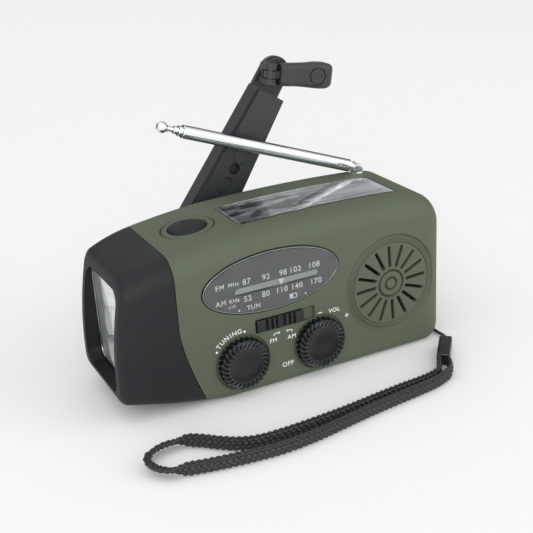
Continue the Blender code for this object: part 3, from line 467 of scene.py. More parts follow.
def piece(name, data, body, slot, *replaced, sharp=35, bevel=0.0, finish=None):
    """A visible piece that rides a body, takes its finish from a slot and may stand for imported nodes."""
    obj = bpy.data.objects.new(name, data)
    bpy.context.scene.collection.objects.link(obj)
    data.materials.clear()
    data.materials.append(MATERIALS[finish or slot])
    if isinstance(data, bpy.types.Mesh):
        data.shade_smooth()
        data.set_sharp_from_angle(angle=math.radians(sharp))
        if bevel:
            edges = obj.modifiers.new("Edges", "BEVEL")
            edges.width = bevel * MM
            edges.segments = 3
            edges.limit_method = "ANGLE"
            edges.angle_limit = math.radians(sharp)
        normals = obj.modifiers.new("Normals", "WEIGHTED_NORMAL")
        normals.keep_sharp = not bevel
    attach(obj, body)
    if replaced:
        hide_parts(*replaced)
    return obj


def eased(value):
    value = min(1.0, max(0.0, value))
    return value * value * (3 - 2 * value)


def between(t, a, b, c, d):
    """The point a share t of the way from b to c on a Catmull-Rom curve through all four."""
    return 0.5 * (2 * b + (c - a) * t + (2 * a - 5 * b + 4 * c - d) * t * t
                  + (3 * b - a - 3 * c + d) * t ** 3)


def smooth_route(points, spacing):
    """Points at an even spacing along a Catmull-Rom curve through the route."""
    route = [Vector(p) for p in points]
    ends = [2 * route[0] - route[1]] + route + [2 * route[-1] - route[-2]]
    fine = []
    for a, b, c, d in zip(ends, ends[1:], ends[2:], ends[3:]):
        fine += [between(i / 12, a, b, c, d) for i in range(12)]
    fine.append(route[-1])
    lengths = [0.0]
    for p, q in zip(fine, fine[1:]):
        lengths.append(lengths[-1] + (q - p).length)
    count = round(lengths[-1] / spacing)
    result = []
    spot = 0
    for n in range(count + 1):
        want = lengths[-1] * n / count
        while spot < len(fine) - 2 and lengths[spot + 1] < want:
            spot += 1
        share = (want - lengths[spot]) / (lengths[spot + 1] - lengths[spot])
        result.append(fine[spot].lerp(fine[spot + 1], share))
    return result


# ---------- camera and lights ----------

def camera():
    """A view from the front, left and above, tipped slightly clockwise."""
    turn, rise, tip = math.radians(25.6), math.radians(22.58), math.radians(-3.52)
    distance, across, up = 374.89, 0.51, 5.63
    back = Vector((-math.sin(turn) * math.cos(rise), -math.cos(turn) * math.cos(rise), math.sin(rise)))
    right = Vector((math.cos(turn), -math.sin(turn), 0))
    above = back.cross(right)
    tipped_right = math.cos(tip) * right + math.sin(tip) * above
    tipped_above = math.cos(tip) * above - math.sin(tip) * right
    target = across * tipped_right + up * tipped_above + Vector((0, 0, 30))
    data = bpy.data.cameras.new("camera")
    data.lens = 69.74
    data.sensor_width = 36
    data.clip_start = 0.01
    obj = bpy.data.objects.new("camera", data)
    turned_to = Matrix((tipped_right, tipped_above, back)).transposed().to_4x4()
    obj.matrix_world = Matrix.Translation((target + distance * back) * MM) @ turned_to
    bpy.context.scene.collection.objects.link(obj)
    bpy.context.scene.camera = obj


def area_light(name, place, aim, size, power):
    data = bpy.data.lights.new(name, "AREA")
    data.size = size * MM
    data.energy = power
    obj = bpy.data.objects.new(name, data)
    obj.matrix_world = Matrix.Translation(Vector(place) * MM) @ along(Vector(place) - Vector(aim))
    bpy.context.scene.collection.objects.link(obj)


def studio():
    """A plain pale floor under soft lights."""
    scene = bpy.context.scene
    scene.view_settings.view_transform = "Standard"
    world = bpy.data.worlds.new("studio")
    world.use_nodes = True
    background = world.node_tree.nodes["Background"]
    background.inputs["Color"].default_value = (1, 1, 1, 1)
    facing = world.node_tree.nodes.new("ShaderNodeVectorMath")
    facing.operation = "DOT_PRODUCT"
    facing.inputs[1].default_value = (-0.3, -0.65, 0.65)
    link(world, node(world, "TexCoord").outputs["Generated"], facing.inputs[0])
    fade = ranged(world, facing.outputs["Value"], From_Min=-0.15, From_Max=0.55, To_Min=SKY_BEHIND,
                  To_Max=SKY_FRONT)
    link(world, fade, background.inputs["Strength"])
    scene.world = world
    area_light("key", (-700, -1300, 700), (0, 0, 30), 900, 8.0)
    area_light("fill", (1100, -800, 500), (0, 0, 30), 900, 3.0)
    area_light("rim", (150, 1100, 900), (0, 0, 40), 800, 1.0)
    floor = bpy.data.objects.new("floor", box("floor", (-3000, -3000, -20), (3000, 3000, 0)))
    floor.data.materials.append(surface("floor", (0.88, 0.88, 0.88), 0.8, blotch=0.005))
    scene.collection.objects.link(floor)


# ---------- case ----------

def share_past(x, start, end):
    """0 up to start, growing to 1 at end."""
    return max(0.0, (x - start) / (end - start))


def top_z(x):
    fall = FALL * share_past(x, FALL_START, END_L) ** 1.6
    drop = END_DROP * share_past(x, END_DROP_START, END_R) ** 2
    return TOP_Z - ARCH * (x - ARCH_X) ** 2 - fall - drop


def end_shift(x, z):
    return share_past(x, HOOD_START, END_L) ** 2 * END_BULGE * ((z - BULGE_Z) / 28) ** 2


def case_ring(x, inset, steps, side_points):
    """One cross-section of the case, drawn in by the inset."""
    half = HALF_DEPTH - HOOD_NARROW * share_past(x, HOOD_START, END_L) ** 1.5 - inset
    low = RISE * share_past(x, RISE_START, END_L) ** 1.1 + inset
    high = top_z(x) - inset
    corners = ((half, high, 1, 1, SHOULDER_BACK), (-half, high, -1, 1, SHOULDER_FRONT),
               (-half, low, -1, -1, BOTTOM_R), (half, low, 1, -1, BOTTOM_R))
    section = []
    for n, (y, z, side, up, radius) in enumerate(corners):
        radius = max(1.2, radius - 0.6 * inset)
        for i in range(steps):
            angle = math.radians(90 * n + 90 * i / (steps - 1))
            section.append((y - side * radius + radius * math.cos(angle),
                            z - up * radius + radius * math.sin(angle)))
        if n in (1, 3):
            section += upright(section[-1], high if n == 3 else low, side_points)
    return [(x + end_shift(x, z), y, z) for y, z in section]


def upright(corner, far, count):
    """Points up or down a side, between its two rounded corners."""
    y, z = corner
    margin = math.copysign(BOTTOM_R if far < z else SHOULDER_BACK, far - z)
    return [(y, z + (far - margin - z) * n / (count + 1)) for n in range(1, count + 1)]


def case_loft(name, inset, steps=14, side_points=9, spacing=2.5, bend_step=7.5):
    left, right = END_L + 2.4 * inset, END_R - inset
    rings = []
    bends = [math.radians(bend_step * n) for n in range(round(90 / bend_step) + 1)]
    for bend in bends:
        x = left + END_EDGE * (1 - math.cos(bend))
        rings.append(case_ring(x, inset + END_EDGE * (1 - math.sin(bend)), steps, side_points))
    first, last = left + END_EDGE, right - END_ROUND
    count = round((last - first) / spacing)
    for n in range(1, count):
        rings.append(case_ring(first + (last - first) * n / count, inset, steps, side_points))
    for bend in reversed(bends):
        x = right - END_ROUND * (1 - math.cos(bend))
        rings.append(case_ring(x, inset + END_ROUND * (1 - math.sin(bend)), steps, side_points))
    size = len(rings[0])
    rungs = [((steps - 1 - n) % size, steps + n) for n in range(size // 2)]
    return loft(name, rings, rungs)


def seam_x(z):
    return SEAM_X + SEAM_SWEEP * share_past(z, SEAM_BEND, 0) ** 1.5


def seam_block(name, x_far, shift):
    """A block across the whole case that ends at the hood's curved seam."""
    heights = [-6 + 76 * n / 38 for n in range(39)]
    outline = [(seam_x(z) + shift, z) for z in heights] + [(x_far, 70), (x_far, -6)]
    return prism(name, outline, -40, 40)


def inside(name):
    return case_loft(name, WALL, steps=6, side_points=3, spacing=8, bend_step=22.5)


def on_top(name, outline, flare, bottom):
    """A cutter from above whose flared mouth follows the arched top."""
    rings = [[(x, y, 75.0) for x, y in outline(flare)]]
    for degrees in (0, 30, 60, 90):
        bend = math.radians(degrees)
        mouth = outline(flare * (1 - math.sin(bend)))
        rings.append([(x, y, top_z(x) - flare * (1 - math.cos(bend))) for x, y in mouth])
    rings.append([(x, y, bottom) for x, y in outline(0)])
    return loft(name, rings)


def solar_outline(grow):
    x0, x1, y0, y1 = SOLAR
    corners = rounded(x1 - x0 + 2 * grow, y1 - y0 + 2 * grow, 1.2 + grow, ((x0 + x1) / 2, (y0 + y1) / 2), 4)
    outline = []
    for a, b in zip(corners, corners[1:] + corners[:1]):
        parts = max(1, round(math.dist(a, b) / 3))
        for n in range(parts):
            outline.append((a[0] + (b[0] - a[0]) * n / parts, a[1] + (b[1] - a[1]) * n / parts))
    return outline


def ring_groove(name, place, outer, inner, depth):
    """A cutter for a round-bottomed ring groove; the place's Z axis points out of the face."""
    middle, half = (outer + inner) / 2, (outer - inner) / 2
    section = [(middle - half - 0.15, 1.0), (middle + half + 0.15, 1.0), (middle + half + 0.15, 0.0)]
    for degrees in range(15, 180, 30):
        bend = math.radians(degrees)
        section.append((middle + half * math.cos(bend), -depth * math.sin(bend)))
    section.append((middle - half - 0.15, 0.0))
    return turned(name, section, place, 72, closed=True)


def speaker_slot(turn):
    """Outline of one radial slot with round ends, as a function of how far it grows."""
    inner, outer, half_width = 6.9, 14.0, 0.62
    cos, sin = math.cos(turn), math.sin(turn)

    def outline(grow):
        half = half_width + grow
        points = arc((outer, 0), half, -90, 30, 7) + arc((inner, 0), half, 90, 30, 7)
        return [(SPEAKER[0] + x * cos - z * sin, SPEAKER[1] + x * sin + z * cos) for x, z in points]

    return outline


def speaker_openings():
    turns = [math.radians(22.5 * n + 3) for n in range(16)]
    slots = [sunk("slot", speaker_slot(turn), FRONT, 4, flare=0.14) for turn in turns]
    place = at(SPEAKER[0], FRONT, SPEAKER[1]) @ along((0, -1, 0))
    grooves = [ring_groove("speaker_channel", place, SPEAKER_R, SPEAKER_R - 2.0, 1.0),
               ring_groove("speaker_line", place, 16.05, 15.5, 0.5),
               ring_groove("speaker_middle", place, 5.3, 4.6, 1.3),
               ring_groove("speaker_centre", place, 2.6, 1.9, 1.3)]
    return [joined("speaker_slots", slots)] + grooves


def window_openings():
    """Openings for the solar window, the torch button, the dial and the band switch."""
    x0, x1, y0, y1 = SOLAR
    middle = ((x0 + x1) / 2, (y0 + y1) / 2)
    left, right, low, high = SWITCH
    switch = growing_box(right - left, high - low, 0.5, ((left + right) / 2, (low + high) / 2))
    a, b = DIAL_AXES
    return [
        on_top("solar_recess", solar_outline, 0.25, 57.0),
        prism("solar_hole", rounded(x1 - x0 - 5, y1 - y0 - 5, 1, middle), 50, 70, "Z"),
        on_top("button_hole", growing_round(BUTTON, BUTTON_R + 0.3), 0.15, 50),
        sunk("dial_recess", lambda grow: ellipse(DIAL, a + grow, b + grow, 96), FRONT, 1.1),
        box("dial_slot", (BAR_X0 - 1, FRONT - 3, BAR_Z - 2.5), (BAR_X1 + 1, FRONT + 5, BAR_Z + 2.5)),
        sunk("switch_recess", switch, FRONT, 1.4, flare=0.2),
        box("switch_slot", (left + 5, FRONT - 3, low + 1.4), (right - 5, FRONT + 5, high - 1.4)),
    ]


def end_openings():
    """Openings for the USB socket and its cover, the strap and the aerial, and the ring round the button."""
    strap_mouth = [(0, -5), (1.0, -5), (1.0, -0.4), (1.5, 0.2), (2.2, 0.6), (2.2, 3), (0, 3)]
    strap_way = at(STRAP_OUT[0], STRAP_Y, STRAP_OUT[1]) @ along((STRAP_WAY[0], 0, STRAP_WAY[1]))
    return [
        sunk("usb_hole", growing_box(9.2, 5.2, 0.8, (0, PORT_Z)), 62.1, -5, "X"),
        sunk("cover_pocket", growing_box(14.6, 13.0, 1.6, (0, PORT_Z - 0.2)), END_R, -1.4, "X", flare=0.25),
        turned("strap_hole", strap_mouth, strap_way, 24),
        aerial_seat(),
        prism("aerial_hole", round_hole(AERIAL[:2], 1.6, 24), 50, 70, "Z"),
        button_groove(),
    ]


def front_shell():
    """The front, the top and both ends, with posts for the screws."""
    mesh = carve(case_loft("front_shell", 0), inside("front_inside"),
                 seam_block("before_seam", -80, SEAM_HALF),
                 box("behind_split", (-80, SPLIT_Y - 0.15, -5), (80, 40, 80)))
    posts = [prism("post", round_hole(spot, 2.8, 24), -21, SPLIT_Y - 0.5) for spot in BOSSES]
    mesh = carve(mesh, *posts, operation="UNION")
    tools = [prism("screw_way", round_hole(spot, 1.5, 16), 6, 30) for spot in BOSSES]
    tools += window_openings() + end_openings()
    for name, centre in (("tuning", TUNING), ("volume", VOLUME)):
        tools.append(sunk(name + "_well", growing_round(centre, KNOB_R + 0.7, 72), FRONT, 0.8))
        tools.append(prism(name + "_hole", round_hole(centre, 3.4), FRONT - 3, FRONT + 5))
    mesh = carve(mesh, *tools, *speaker_openings())
    piece("front_case", mesh, "case", "olive_plastic", "front_shell", sharp=40)


def button_groove():
    """The thin ring round the torch button, following the sloping top."""
    mesh = ring_groove("button_ring", at(*BUTTON, 0), 9.6, 9.05, 0.8)
    for vertex in mesh.vertices:
        vertex.co.z += top_z(vertex.co.x / MM) * MM
    return mesh


def aerial_seat():
    return prism("aerial_seat", round_hole(AERIAL[:2], AERIAL_SEAT_R), AERIAL_SEAT_Z, 70, "Z")


def back_cover():
    mesh = carve(case_loft("back_cover", 0), inside("back_inside"), seam_block("before_seam", -80, SEAM_HALF),
                 box("before_split", (-80, -40, -5), (80, SPLIT_Y + 0.15, 80)))
    tools = [aerial_seat(), prism("axle_hole", round_hole(HUB, 2.4, 32), 10, 30),
             ring_groove("hub_ring", at(HUB[0], HALF_DEPTH, HUB[1]) @ along((0, 1, 0)), 12.6, 11.6, 0.4)]
    for n, spot in enumerate(BOSSES):
        tools.append(sunk(f"well_{n}", growing_round(spot, 2.7, 32), HALF_DEPTH, -1.3, flare=0.25))
        tools.append(prism(f"way_{n}", round_hole(spot, 1.5, 20), 10, 30))
    mesh = carve(mesh, *tools)
    piece("back_case", mesh, "case", "olive_plastic", "back_cover", sharp=40)


def lens_outline(grow):
    return rounded(2 * (LENS_Y + grow), LENS_Z1 - LENS_Z0 + 2 * grow, LENS_R + grow,
                   (0, (LENS_Z0 + LENS_Z1) / 2), 8)


def hood():
    mesh = carve(case_loft("torch_hood", 0), inside("hood_inside"), seam_block("behind_seam", 80, -SEAM_HALF))
    mesh = carve(mesh, prism("lens_window", lens_outline(0), -80, -50, "X"))
    piece("hood", mesh, "case", "black_rubber", "torch_hood", sharp=40, bevel=0.25)


def screws():
    """Cross-headed screws that hold the back cover."""
    profile = [(0, 0.1), (1.3, 0.05), (2.0, -0.15), (2.3, -0.5), (2.3, -1.0), (1.15, -1.0), (1.15, -12),
               (0, -12.8)]
    for n, (x, z) in enumerate(BOSSES):
        place = at(x, HALF_DEPTH - 0.1, z) @ along((0, 1, 0)) @ Matrix.Rotation(0.5 + n, 4, "Z")
        bars = [box("bar", (-a, -b, -0.7), (a, b, 1), place) for a, b in ((1.3, 0.22), (0.22, 1.3))]
        head = carve(turned(f"screw_{n}", profile, place, 32), *bars)
        piece(f"screw_{n + 1}", head, "case", "steel", f"case_screw_{n + 1}")


# ---------- torch ----------

def torch():
    """The window, the reflector with its three cups, and an LED in each cup."""
    rings = [placed(lens_outline(-0.3), LENS_X + 1.0, "X"), placed(lens_outline(-0.3), LENS_X + 0.2, "X"),
             placed(lens_outline(-0.6), LENS_X, "X")]
    piece("torch_window", loft("torch_window", rings), "case", "clear_plastic", "torch_lens")
    plate_x, back_x, led_x = -57.8, -51.5, -50.9
    throat, mouth = 2.8, 7.9
    depths = [5.6 * k / 12 for k in range(13)]
    bowl = [(max(throat, mouth * math.sqrt(1 - depth / 6.4)), -depth) for depth in depths]
    bowl = [(0, 2), (mouth, 2)] + bowl + [(throat, -9), (0, -9)]
    cups = [turned(f"cup_{n}", bowl, at(plate_x, 0, z) @ along((-1, 0, 0)), 48) for n, z in enumerate(LED_Z)]
    plate = carve(prism("reflector", lens_outline(-0.4), plate_x, back_x, "X"), *cups)
    # The reflector's near-white finish is partly a painted reflection.
    piece("torch_cups", plate, "case", "chrome", "torch_reflector", sharp=28, finish="reflector")
    dome = [(2.5 * x, 2.6 + 2.8 * y) for x, y in arc((0, 0), 1, 10, 10, 8)]
    bulb = [(0, 0), (2.5, 0), (2.5, 2.6)] + dome + [(0, 5.4)]
    for n, z in enumerate(LED_Z):
        led = turned(f"led_{n}", bulb, at(led_x, 0, z) @ along((-1, 0, 0)), 32)
        piece(f"torch_led_{n + 1}", led, "case", "led_clear", f"led_{n + 1}")


def torch_button():
    """A rubber dome with a two-armed swirl raised on it."""
    profile = [(0, 1.2)] + [(0.28 * n, 1.2 - 0.9 * (0.28 * n / 6.2) ** 2) for n in range(1, 22)]
    profile += [(6.25, 0.15), (6.6, -0.2), (6.8, -0.8), (6.8, -2.6), (2.6, -2.6), (2.6, -3.4), (0, -3.4)]

    def swirl(radius, height, angle):
        if height < 0.2:
            return 0, 0
        arm = max(0.0, math.cos(angle - 1.05 * radius)) ** 4
        arm *= eased((5.4 - radius) / 0.8) * eased((radius - 0.9) / 0.8)
        rim = eased(1 - abs(radius - 5.7) / 0.35)
        return 0, 0.28 * arm - 0.16 * rim

    x, y = BUTTON
    mesh = turned("button_dome", profile, at(x, y, top_z(x)), 128, swirl)
    piece("button_dome", mesh, "torch_button", "black_rubber", "torch_button", sharp=60)


# ---------- solar window and dial ----------

def solar():
    x0, x1, y0, y1 = SOLAR
    edge, under, count = 0.35, 57.7, 24
    rings = []
    for n in range(count + 1):
        x = x0 + edge + (x1 - x0 - 2 * edge) * n / count
        top = top_z(x) - (0.2 if n in (0, count) else 0)
        rings.append([(x, y0 + edge, under), (x, y1 - edge, under), (x, y1 - edge, top - 0.25),
                      (x, y1 - edge - 0.25, top), (x, y0 + edge + 0.25, top), (x, y0 + edge, top - 0.25)])
    piece("solar_pane", loft("solar_pane", rings), "case", "clear_plastic", "solar_cover")
    film = rounded(x1 - x0 - 1.2, y1 - y0 - 1.2, 0.6, ((x0 + x1) / 2, (y0 + y1) / 2))
    piece("solar_film", prism("solar_film", film, 57.25, 57.45, "Z"), "case", "solar", "solar_cell")


def capsule(x0, x1, z, half):
    """A bar with round ends, along X."""
    return arc((x1 - half, z), half, -90, 22.5, 9) + arc((x0 + half, z), half, 90, 22.5, 9)


def word(text, x, z, size, y, turn=0.0):
    """Raised lettering that faces forward."""
    curve = bpy.data.curves.new(text, "FONT")
    curve.body = text
    curve.size = size * MM
    curve.align_x = "CENTER"
    curve.align_y = "CENTER"
    curve.extrude = 0.03 * MM
    curve.offset = 0.007 * size * MM
    curve.space_character = 1.12
    obj = bpy.data.objects.new(text, curve)
    bpy.context.scene.collection.objects.link(obj)
    evaluated = obj.evaluated_get(bpy.context.evaluated_depsgraph_get())
    mesh = bpy.data.meshes.new_from_object(evaluated)
    upright_at = at(x * MM, y * MM, z * MM) @ Matrix.Rotation(math.pi / 2, 4, "X")
    mesh.transform(upright_at @ Matrix.Rotation(turn, 4, "Z"))
    bpy.data.objects.remove(obj)
    return mesh


def dot(x, z, radius, y):
    return prism("dot", ellipse((x, z), radius, radius, 16), y - 0.03, y + 0.03)


def stroke(x0, z0, x1, z1, half, y):
    return box("stroke", (min(x0, x1) - half, y - 0.03, min(z0, z1) - half),
               (max(x0, x1) + half, y + 0.03, max(z0, z1) + half))


def dial():
    """The smoked plate, its lit strip, the rim and the glass."""
    a, b = DIAL_AXES
    way = prism("bar_way", capsule(BAR_X0, BAR_X1, BAR_Z, BAR_HALF), FRONT - 2, FRONT + 2)
    plate = carve(prism("dial_plate", ellipse(DIAL, a - 0.35, b - 0.35, 96), FRONT + 0.1, FRONT + 0.8), way)
    piece("dial_plate", plate, "case", "dial", "dial_window")
    strip = box("dial_strip", (BAR_X0 - 0.8, FRONT + 0.82, BAR_Z - 1.0),
                (BAR_X1 + 0.8, FRONT + 1.05, BAR_Z + 2.2))
    piece("dial_strip", strip, "case", "white_plastic", finish="light_strip")
    rim_half = 0.2
    rings = [placed(ellipse(DIAL, a - 0.62 + reach, b - 0.62 + reach, 120), FRONT - 0.02 - out, "Y")
             for reach, out in arc((0, 0), rim_half, 0, 30, 12)]
    piece("dial_rim", loft("dial_rim", rings, closed=True), "case", "chrome", finish="rim_metal")
    glass = [placed(ellipse(DIAL, a - inset, b - inset, 96), FRONT - out, "Y")
             for inset, out in ((1.0, 0.02), (1.0, 0.2), (1.25, 0.32))]
    piece("dial_glass", loft("dial_glass", glass), "case", "clear_plastic")
    dial_lettering()
    pointer()


def dial_lettering():
    """The two scales, their units, and the marks below them."""
    y = FRONT + 0.07
    upper, lower = BAR_Z + 3.2, BAR_Z - 3.0
    words = [("FM", -27.4, upper, 2.6), ("MHz", -22.4, upper + 0.1, 2.0), ("AM", -27.4, lower + 0.5, 2.6),
             ("KHz", -22.5, lower + 0.4, 2.0), ("x10", -23.5, lower - 1.6, 1.6), ("TUN", -15.5, 32.9, 2.3)]
    for number, x in (("87", -17.6), ("92", -10.3), ("98", -3.8), ("102", 0.9), ("108", 8.2)):
        words.append((number, x, upper, 2.85))
    for number, x in (("52", -17.5), ("80", -10.7), ("110", -4.6), ("140", 1.2), ("170", 8.7)):
        words.append((number, x, lower, 2.85))
    marks = [word(text, x, z, size, y) for text, x, z, size in words]
    marks += [dot(x, z, 0.35, y) for x, z in ((-21.0, 32.8), (4.5, 32.9))]
    battery = ((-1.6, 32.5, -0.6, 33.9, 0.15), (-0.4, 33.9, 0.8, 33.9, 0.15), (-0.4, 32.4, 0.8, 32.4, 0.15),
               (1.0, 32.8, 1.0, 33.5, 0.2))
    marks += [stroke(*line, y) for line in battery]
    piece("dial_lettering", joined("dial_lettering", marks), "case", "white_plastic")


def pointer():
    """A small triangle over the strip, held from below by its carriage on the rail."""
    x = POINTER_X
    tip = [(x - 1.15, BAR_Z + 1.05), (x, BAR_Z - 1.05), (x + 1.15, BAR_Z + 1.05)]
    parts = [box("stem", (x - 0.3, FRONT + 0.45, BAR_Z - 1.3), (x + 0.3, FRONT + 2.4, BAR_Z - 1.1)),
             box("leg", (x - 0.3, FRONT + 0.45, BAR_Z - 1.2), (x + 0.3, FRONT + 0.6, BAR_Z + 0.2)),
             box("carriage", (x - 3, FRONT + 2.2, BAR_Z - 3), (x + 3, FRONT + 5.2, BAR_Z + 3))]
    mesh = carve(prism("pointer", tip, FRONT + 0.35, FRONT + 0.62), *parts, operation="UNION")
    rail_way = at(x, FRONT + 3.9, BAR_Z) @ along((1, 0, 0))
    rail = turned("rail", [(0, -9), (0.9, -9), (0.9, 9), (0, 9)], rail_way, 24)
    piece("pointer", carve(mesh, rail), "dial_pointer", "white_plastic", "dial_pointer")


# ---------- knobs and switches ----------

def knob(name, centre, node_name):
    """A knob with swirled ridges round a smooth dished middle."""
    ridges, ridge_start = 28, 6.1
    profile = [(0, 2.75), (2.0, 2.72), (4.0, 2.78), (5.3, 2.95), (5.9, 3.1)]
    profile += [(6.2 + 0.25 * n, 3.18 - 0.004 * n * n) for n in range(12)]
    profile += [(9.15, 2.45), (9.35, 2.15), (KNOB_R, 1.6), (KNOB_R, 1.0), (KNOB_R, 0.2), (KNOB_R, -0.3),
                (9.2, -0.5), (3.0, -0.5), (3.0, -4.0), (0, -4.0)]

    def ridge(radius, height, angle):
        if radius < ridge_start or height < -0.4:
            return 0, 0
        swirl = 0.2 * (min(radius, 9.1) - ridge_start) ** 1.15
        wave = abs(math.cos(ridges / 2 * (angle + 0.32 * swirl)))
        depth = 0.95 * eased((radius - ridge_start) / 1.0) * (1 - wave)
        side = eased((radius - 8.9) / 0.45)
        return -depth * side, -depth * (1 - side)

    place = at(centre[0], FRONT, centre[1]) @ along((0, -1, 0))
    mesh = turned(name, profile, place, ridges * 12, ridge)
    piece(name, mesh, node_name, "black_plastic", node_name, sharp=70, finish="knob_plastic")


def band_switch():
    """The slider's ribbed cap, with its stem through the slot."""
    left, low, high = SWITCH[0], SWITCH[2], SWITCH[3]
    half, middle = (high - low) / 2 - 0.3, (low + high) / 2
    rings = [placed(rounded(width, 2 * half - shy, 0.4, (left + 9.35, middle)), FRONT + out, "Y")
             for width, shy, out in ((18.1, 0.0, 1.1), (18.1, 0.0, -0.5), (17.7, 0.4, -0.75))]
    stem = box("switch_stem", (left + 8.2, FRONT + 1.0, middle - 0.9),
               (left + 12.4, FRONT + 3.6, middle + 0.9))
    cap = carve(loft("switch_cap", rings), stem, operation="UNION")
    cuts = [box("groove", (left + x, FRONT - 2, low - 1), (left + x + 0.9, FRONT + 0.3, high + 1))
            for x in (3.6, 5.6, 7.4, 10.4, 12.4, 14.2)]
    cuts.append(box("thumb_dip", (left + 8.9, FRONT - 2, low - 1), (left + 10.6, FRONT - 0.1, high + 1)))
    cap = carve(cap, *cuts)
    piece("switch_slider", cap, "band_switch", "black_plastic", "band_switch", bevel=0.08)


def case_lettering():
    """The names of the controls, and small bars and dots beside them."""
    y = FRONT - 0.02
    words = (("FM", -8.9, 18.2, 2.2), ("AM", -1.7, 17.9, 2.2), ("OFF", -3.7, 7.7, 2.4),
             ("VOL", 15.6, 23.5, 2.2))
    bars = ((9.2, 23.9, 10.4, 23.9, 0.18), (20.0, 20.2, 21.2, 20.2, 0.18), (20.6, 19.6, 20.6, 20.8, 0.18),
            (-8.6, 20.75, -6.6, 20.75, 0.15), (-8.6, 20.1, -8.6, 20.75, 0.15),
            (-3.3, 20.65, -1.5, 20.65, 0.15), (-1.5, 19.9, -1.5, 20.65, 0.15))
    marks = [word(text, x, z, size, y) for text, x, z, size in words]
    marks += [stroke(*bar, y) for bar in bars]
    dots = [(-6.6, 20.7), (-3.3, 20.6)] + arc(TUNING, 11.5, 84, 62, 2)
    marks += [dot(x, z, 0.42, y) for x, z in dots]
    for letter, degrees in zip("TUNING", (136.5, 127.5, 118.0, 110.0, 102.5, 93.0)):
        x, z = arc(TUNING, 11.9, degrees, 0, 1)[0]
        marks.append(word(letter, x, z, 2.4, y, math.radians(degrees - 90)))
    piece("case_lettering", joined("case_lettering", marks), "case", "white_plastic")


def port_cover():
    """The rubber cover over the USB socket, with a hollow to pull it by."""
    inner = rounded(13.4, 11.4, 1.2, (0, PORT_Z))
    rings = [placed(rounded(14.0, 12.0, 1.5, (0, PORT_Z)), x, "X") for x in (62.4, 63.2)]
    body = loft("port_cover", rings + [placed(inner, 63.5, "X")])
    pull = turned("pull", [(0, 2), (2.2, 2), (2.2, 0), (0, -0.35)], at(END_R, 0, 25.6) @ along((1, 0, 0)), 32)
    piece("port_lid", carve(body, pull), "port_cover", "black_rubber", "port_cover")


# ---------- crank ----------

SPIN = at(HUB[0], 0, HUB[1]) @ Matrix.Rotation(-ARM_ANGLE, 4, "Y")
FLIP = SPIN @ at(0, FLIP_Y, 0)
SWIVEL = SPIN @ at(SWIVEL_S, 0, 0) @ Matrix.Rotation(ARM_ANGLE + KNOB_TILT, 4, "Y")
FOLD = SWIVEL @ at(KNOB_PIN, KNOB_PIN_Y, 0)


def rod(name, centre, half, radius, matrix, sides=32):
    """A short bar along the local Z."""
    return turned(name, [(0, -half), (radius, -half), (radius, half), (0, half)], matrix @ at(*centre), sides)


def crank_hub():
    """The round hub that the arm flips on, with two ears for the hinge pin."""
    profile = [(0, 23.3), (9.8, 23.3), (10.2, 23.7), (10.2, 26.8), (9.8, 27.2), (0, 27.2)]
    disc = turned("hub_disc", profile, SPIN @ along((0, 1, 0)), 64)
    ear = [(-3.4, 26.5), (3.4, 26.5), (3.4, 32.4), (2.2, 33.6), (-2.2, 33.6), (-3.4, 32.4)]
    ears = [prism("ear", ear, low, high, "Z", SPIN) for low, high in ((-8.6, -5.1), (5.1, 8.6))]
    mesh = carve(disc, *ears, operation="UNION")
    mesh = carve(mesh, rod("flip_bore", (0, FLIP_Y, 0), 12, HINGE_BORE, SPIN))
    piece("hub", mesh, "crank", "black_plastic", "crank_hub", bevel=0.2, finish="crank_plastic_lit")


def arm_half(s):
    return (ARM_W0 - ARM_TAPER * s) / 2


def arm_outline(start, end, inset):
    return [(start, inset - arm_half(8)), (end, inset - arm_half(end)), (end, arm_half(end) - inset),
            (start, arm_half(8) - inset)]


def crank_arm():
    """A tapering arm with a stepped edge, two ring marks and a hole on its inner face."""
    low, high = ARM_IN - FLIP_Y, ARM_OUT - FLIP_Y
    step = 0.6
    body = prism("arm_body", arm_outline(ARM_START, ARM_BODY_END, 0), low + 1.3, high, "Y", FLIP)
    panel = arm_outline(ARM_START + step, ARM_BODY_END - step, 1.1)
    reach = arm_half(ARM_BODY_END) - 0.4
    tongue = [(ARM_BODY_END - 3, -reach), (ARM_BODY_END - 3, reach)] + arc((SWIVEL_S, 0), 5.9, 90, -10, 19)
    joins = [prism("arm_panel", panel, low, low + 1.6, "Y", FLIP),
             prism("tongue", tongue, 32.0 - FLIP_Y, high, "Y", FLIP),
             rod("eye", (0, 0, 0), 4.7, 3.1, FLIP), box("neck", (0, -3.1, -4.7), (7, 3.1, 4.7), FLIP)]
    mesh = carve(body, *joins, operation="UNION")
    cuts = [rod("bore", (0, 0, 0), 12, HINGE_BORE, FLIP),
            prism("hub_relief", round_hole((0, 0), 10.9, 64), low - 3, -3.3, "Y", FLIP),
            prism("rivet_bore", round_hole((SWIVEL_S, 0), 1.7, 24), 0, 9, "Y", FLIP),
            prism("arm_hole", round_hole((42.2, 0), 2.3, 32), low - 1, low + 3, "Y", FLIP)]
    section = [(3.4, 1.0), (3.4, -0.4), (2.8, -0.4), (2.8, 1.0)]
    for s in (34.9, 47.6):
        cuts.append(turned("mark", section, FLIP @ at(s, low, 0) @ along((0, -1, 0)), 48, closed=True))
    mesh = carve(mesh, *cuts)
    piece("arm", mesh, "crank_arm", "black_plastic", "crank_arm", bevel=0.3, finish="crank_plastic_lit")


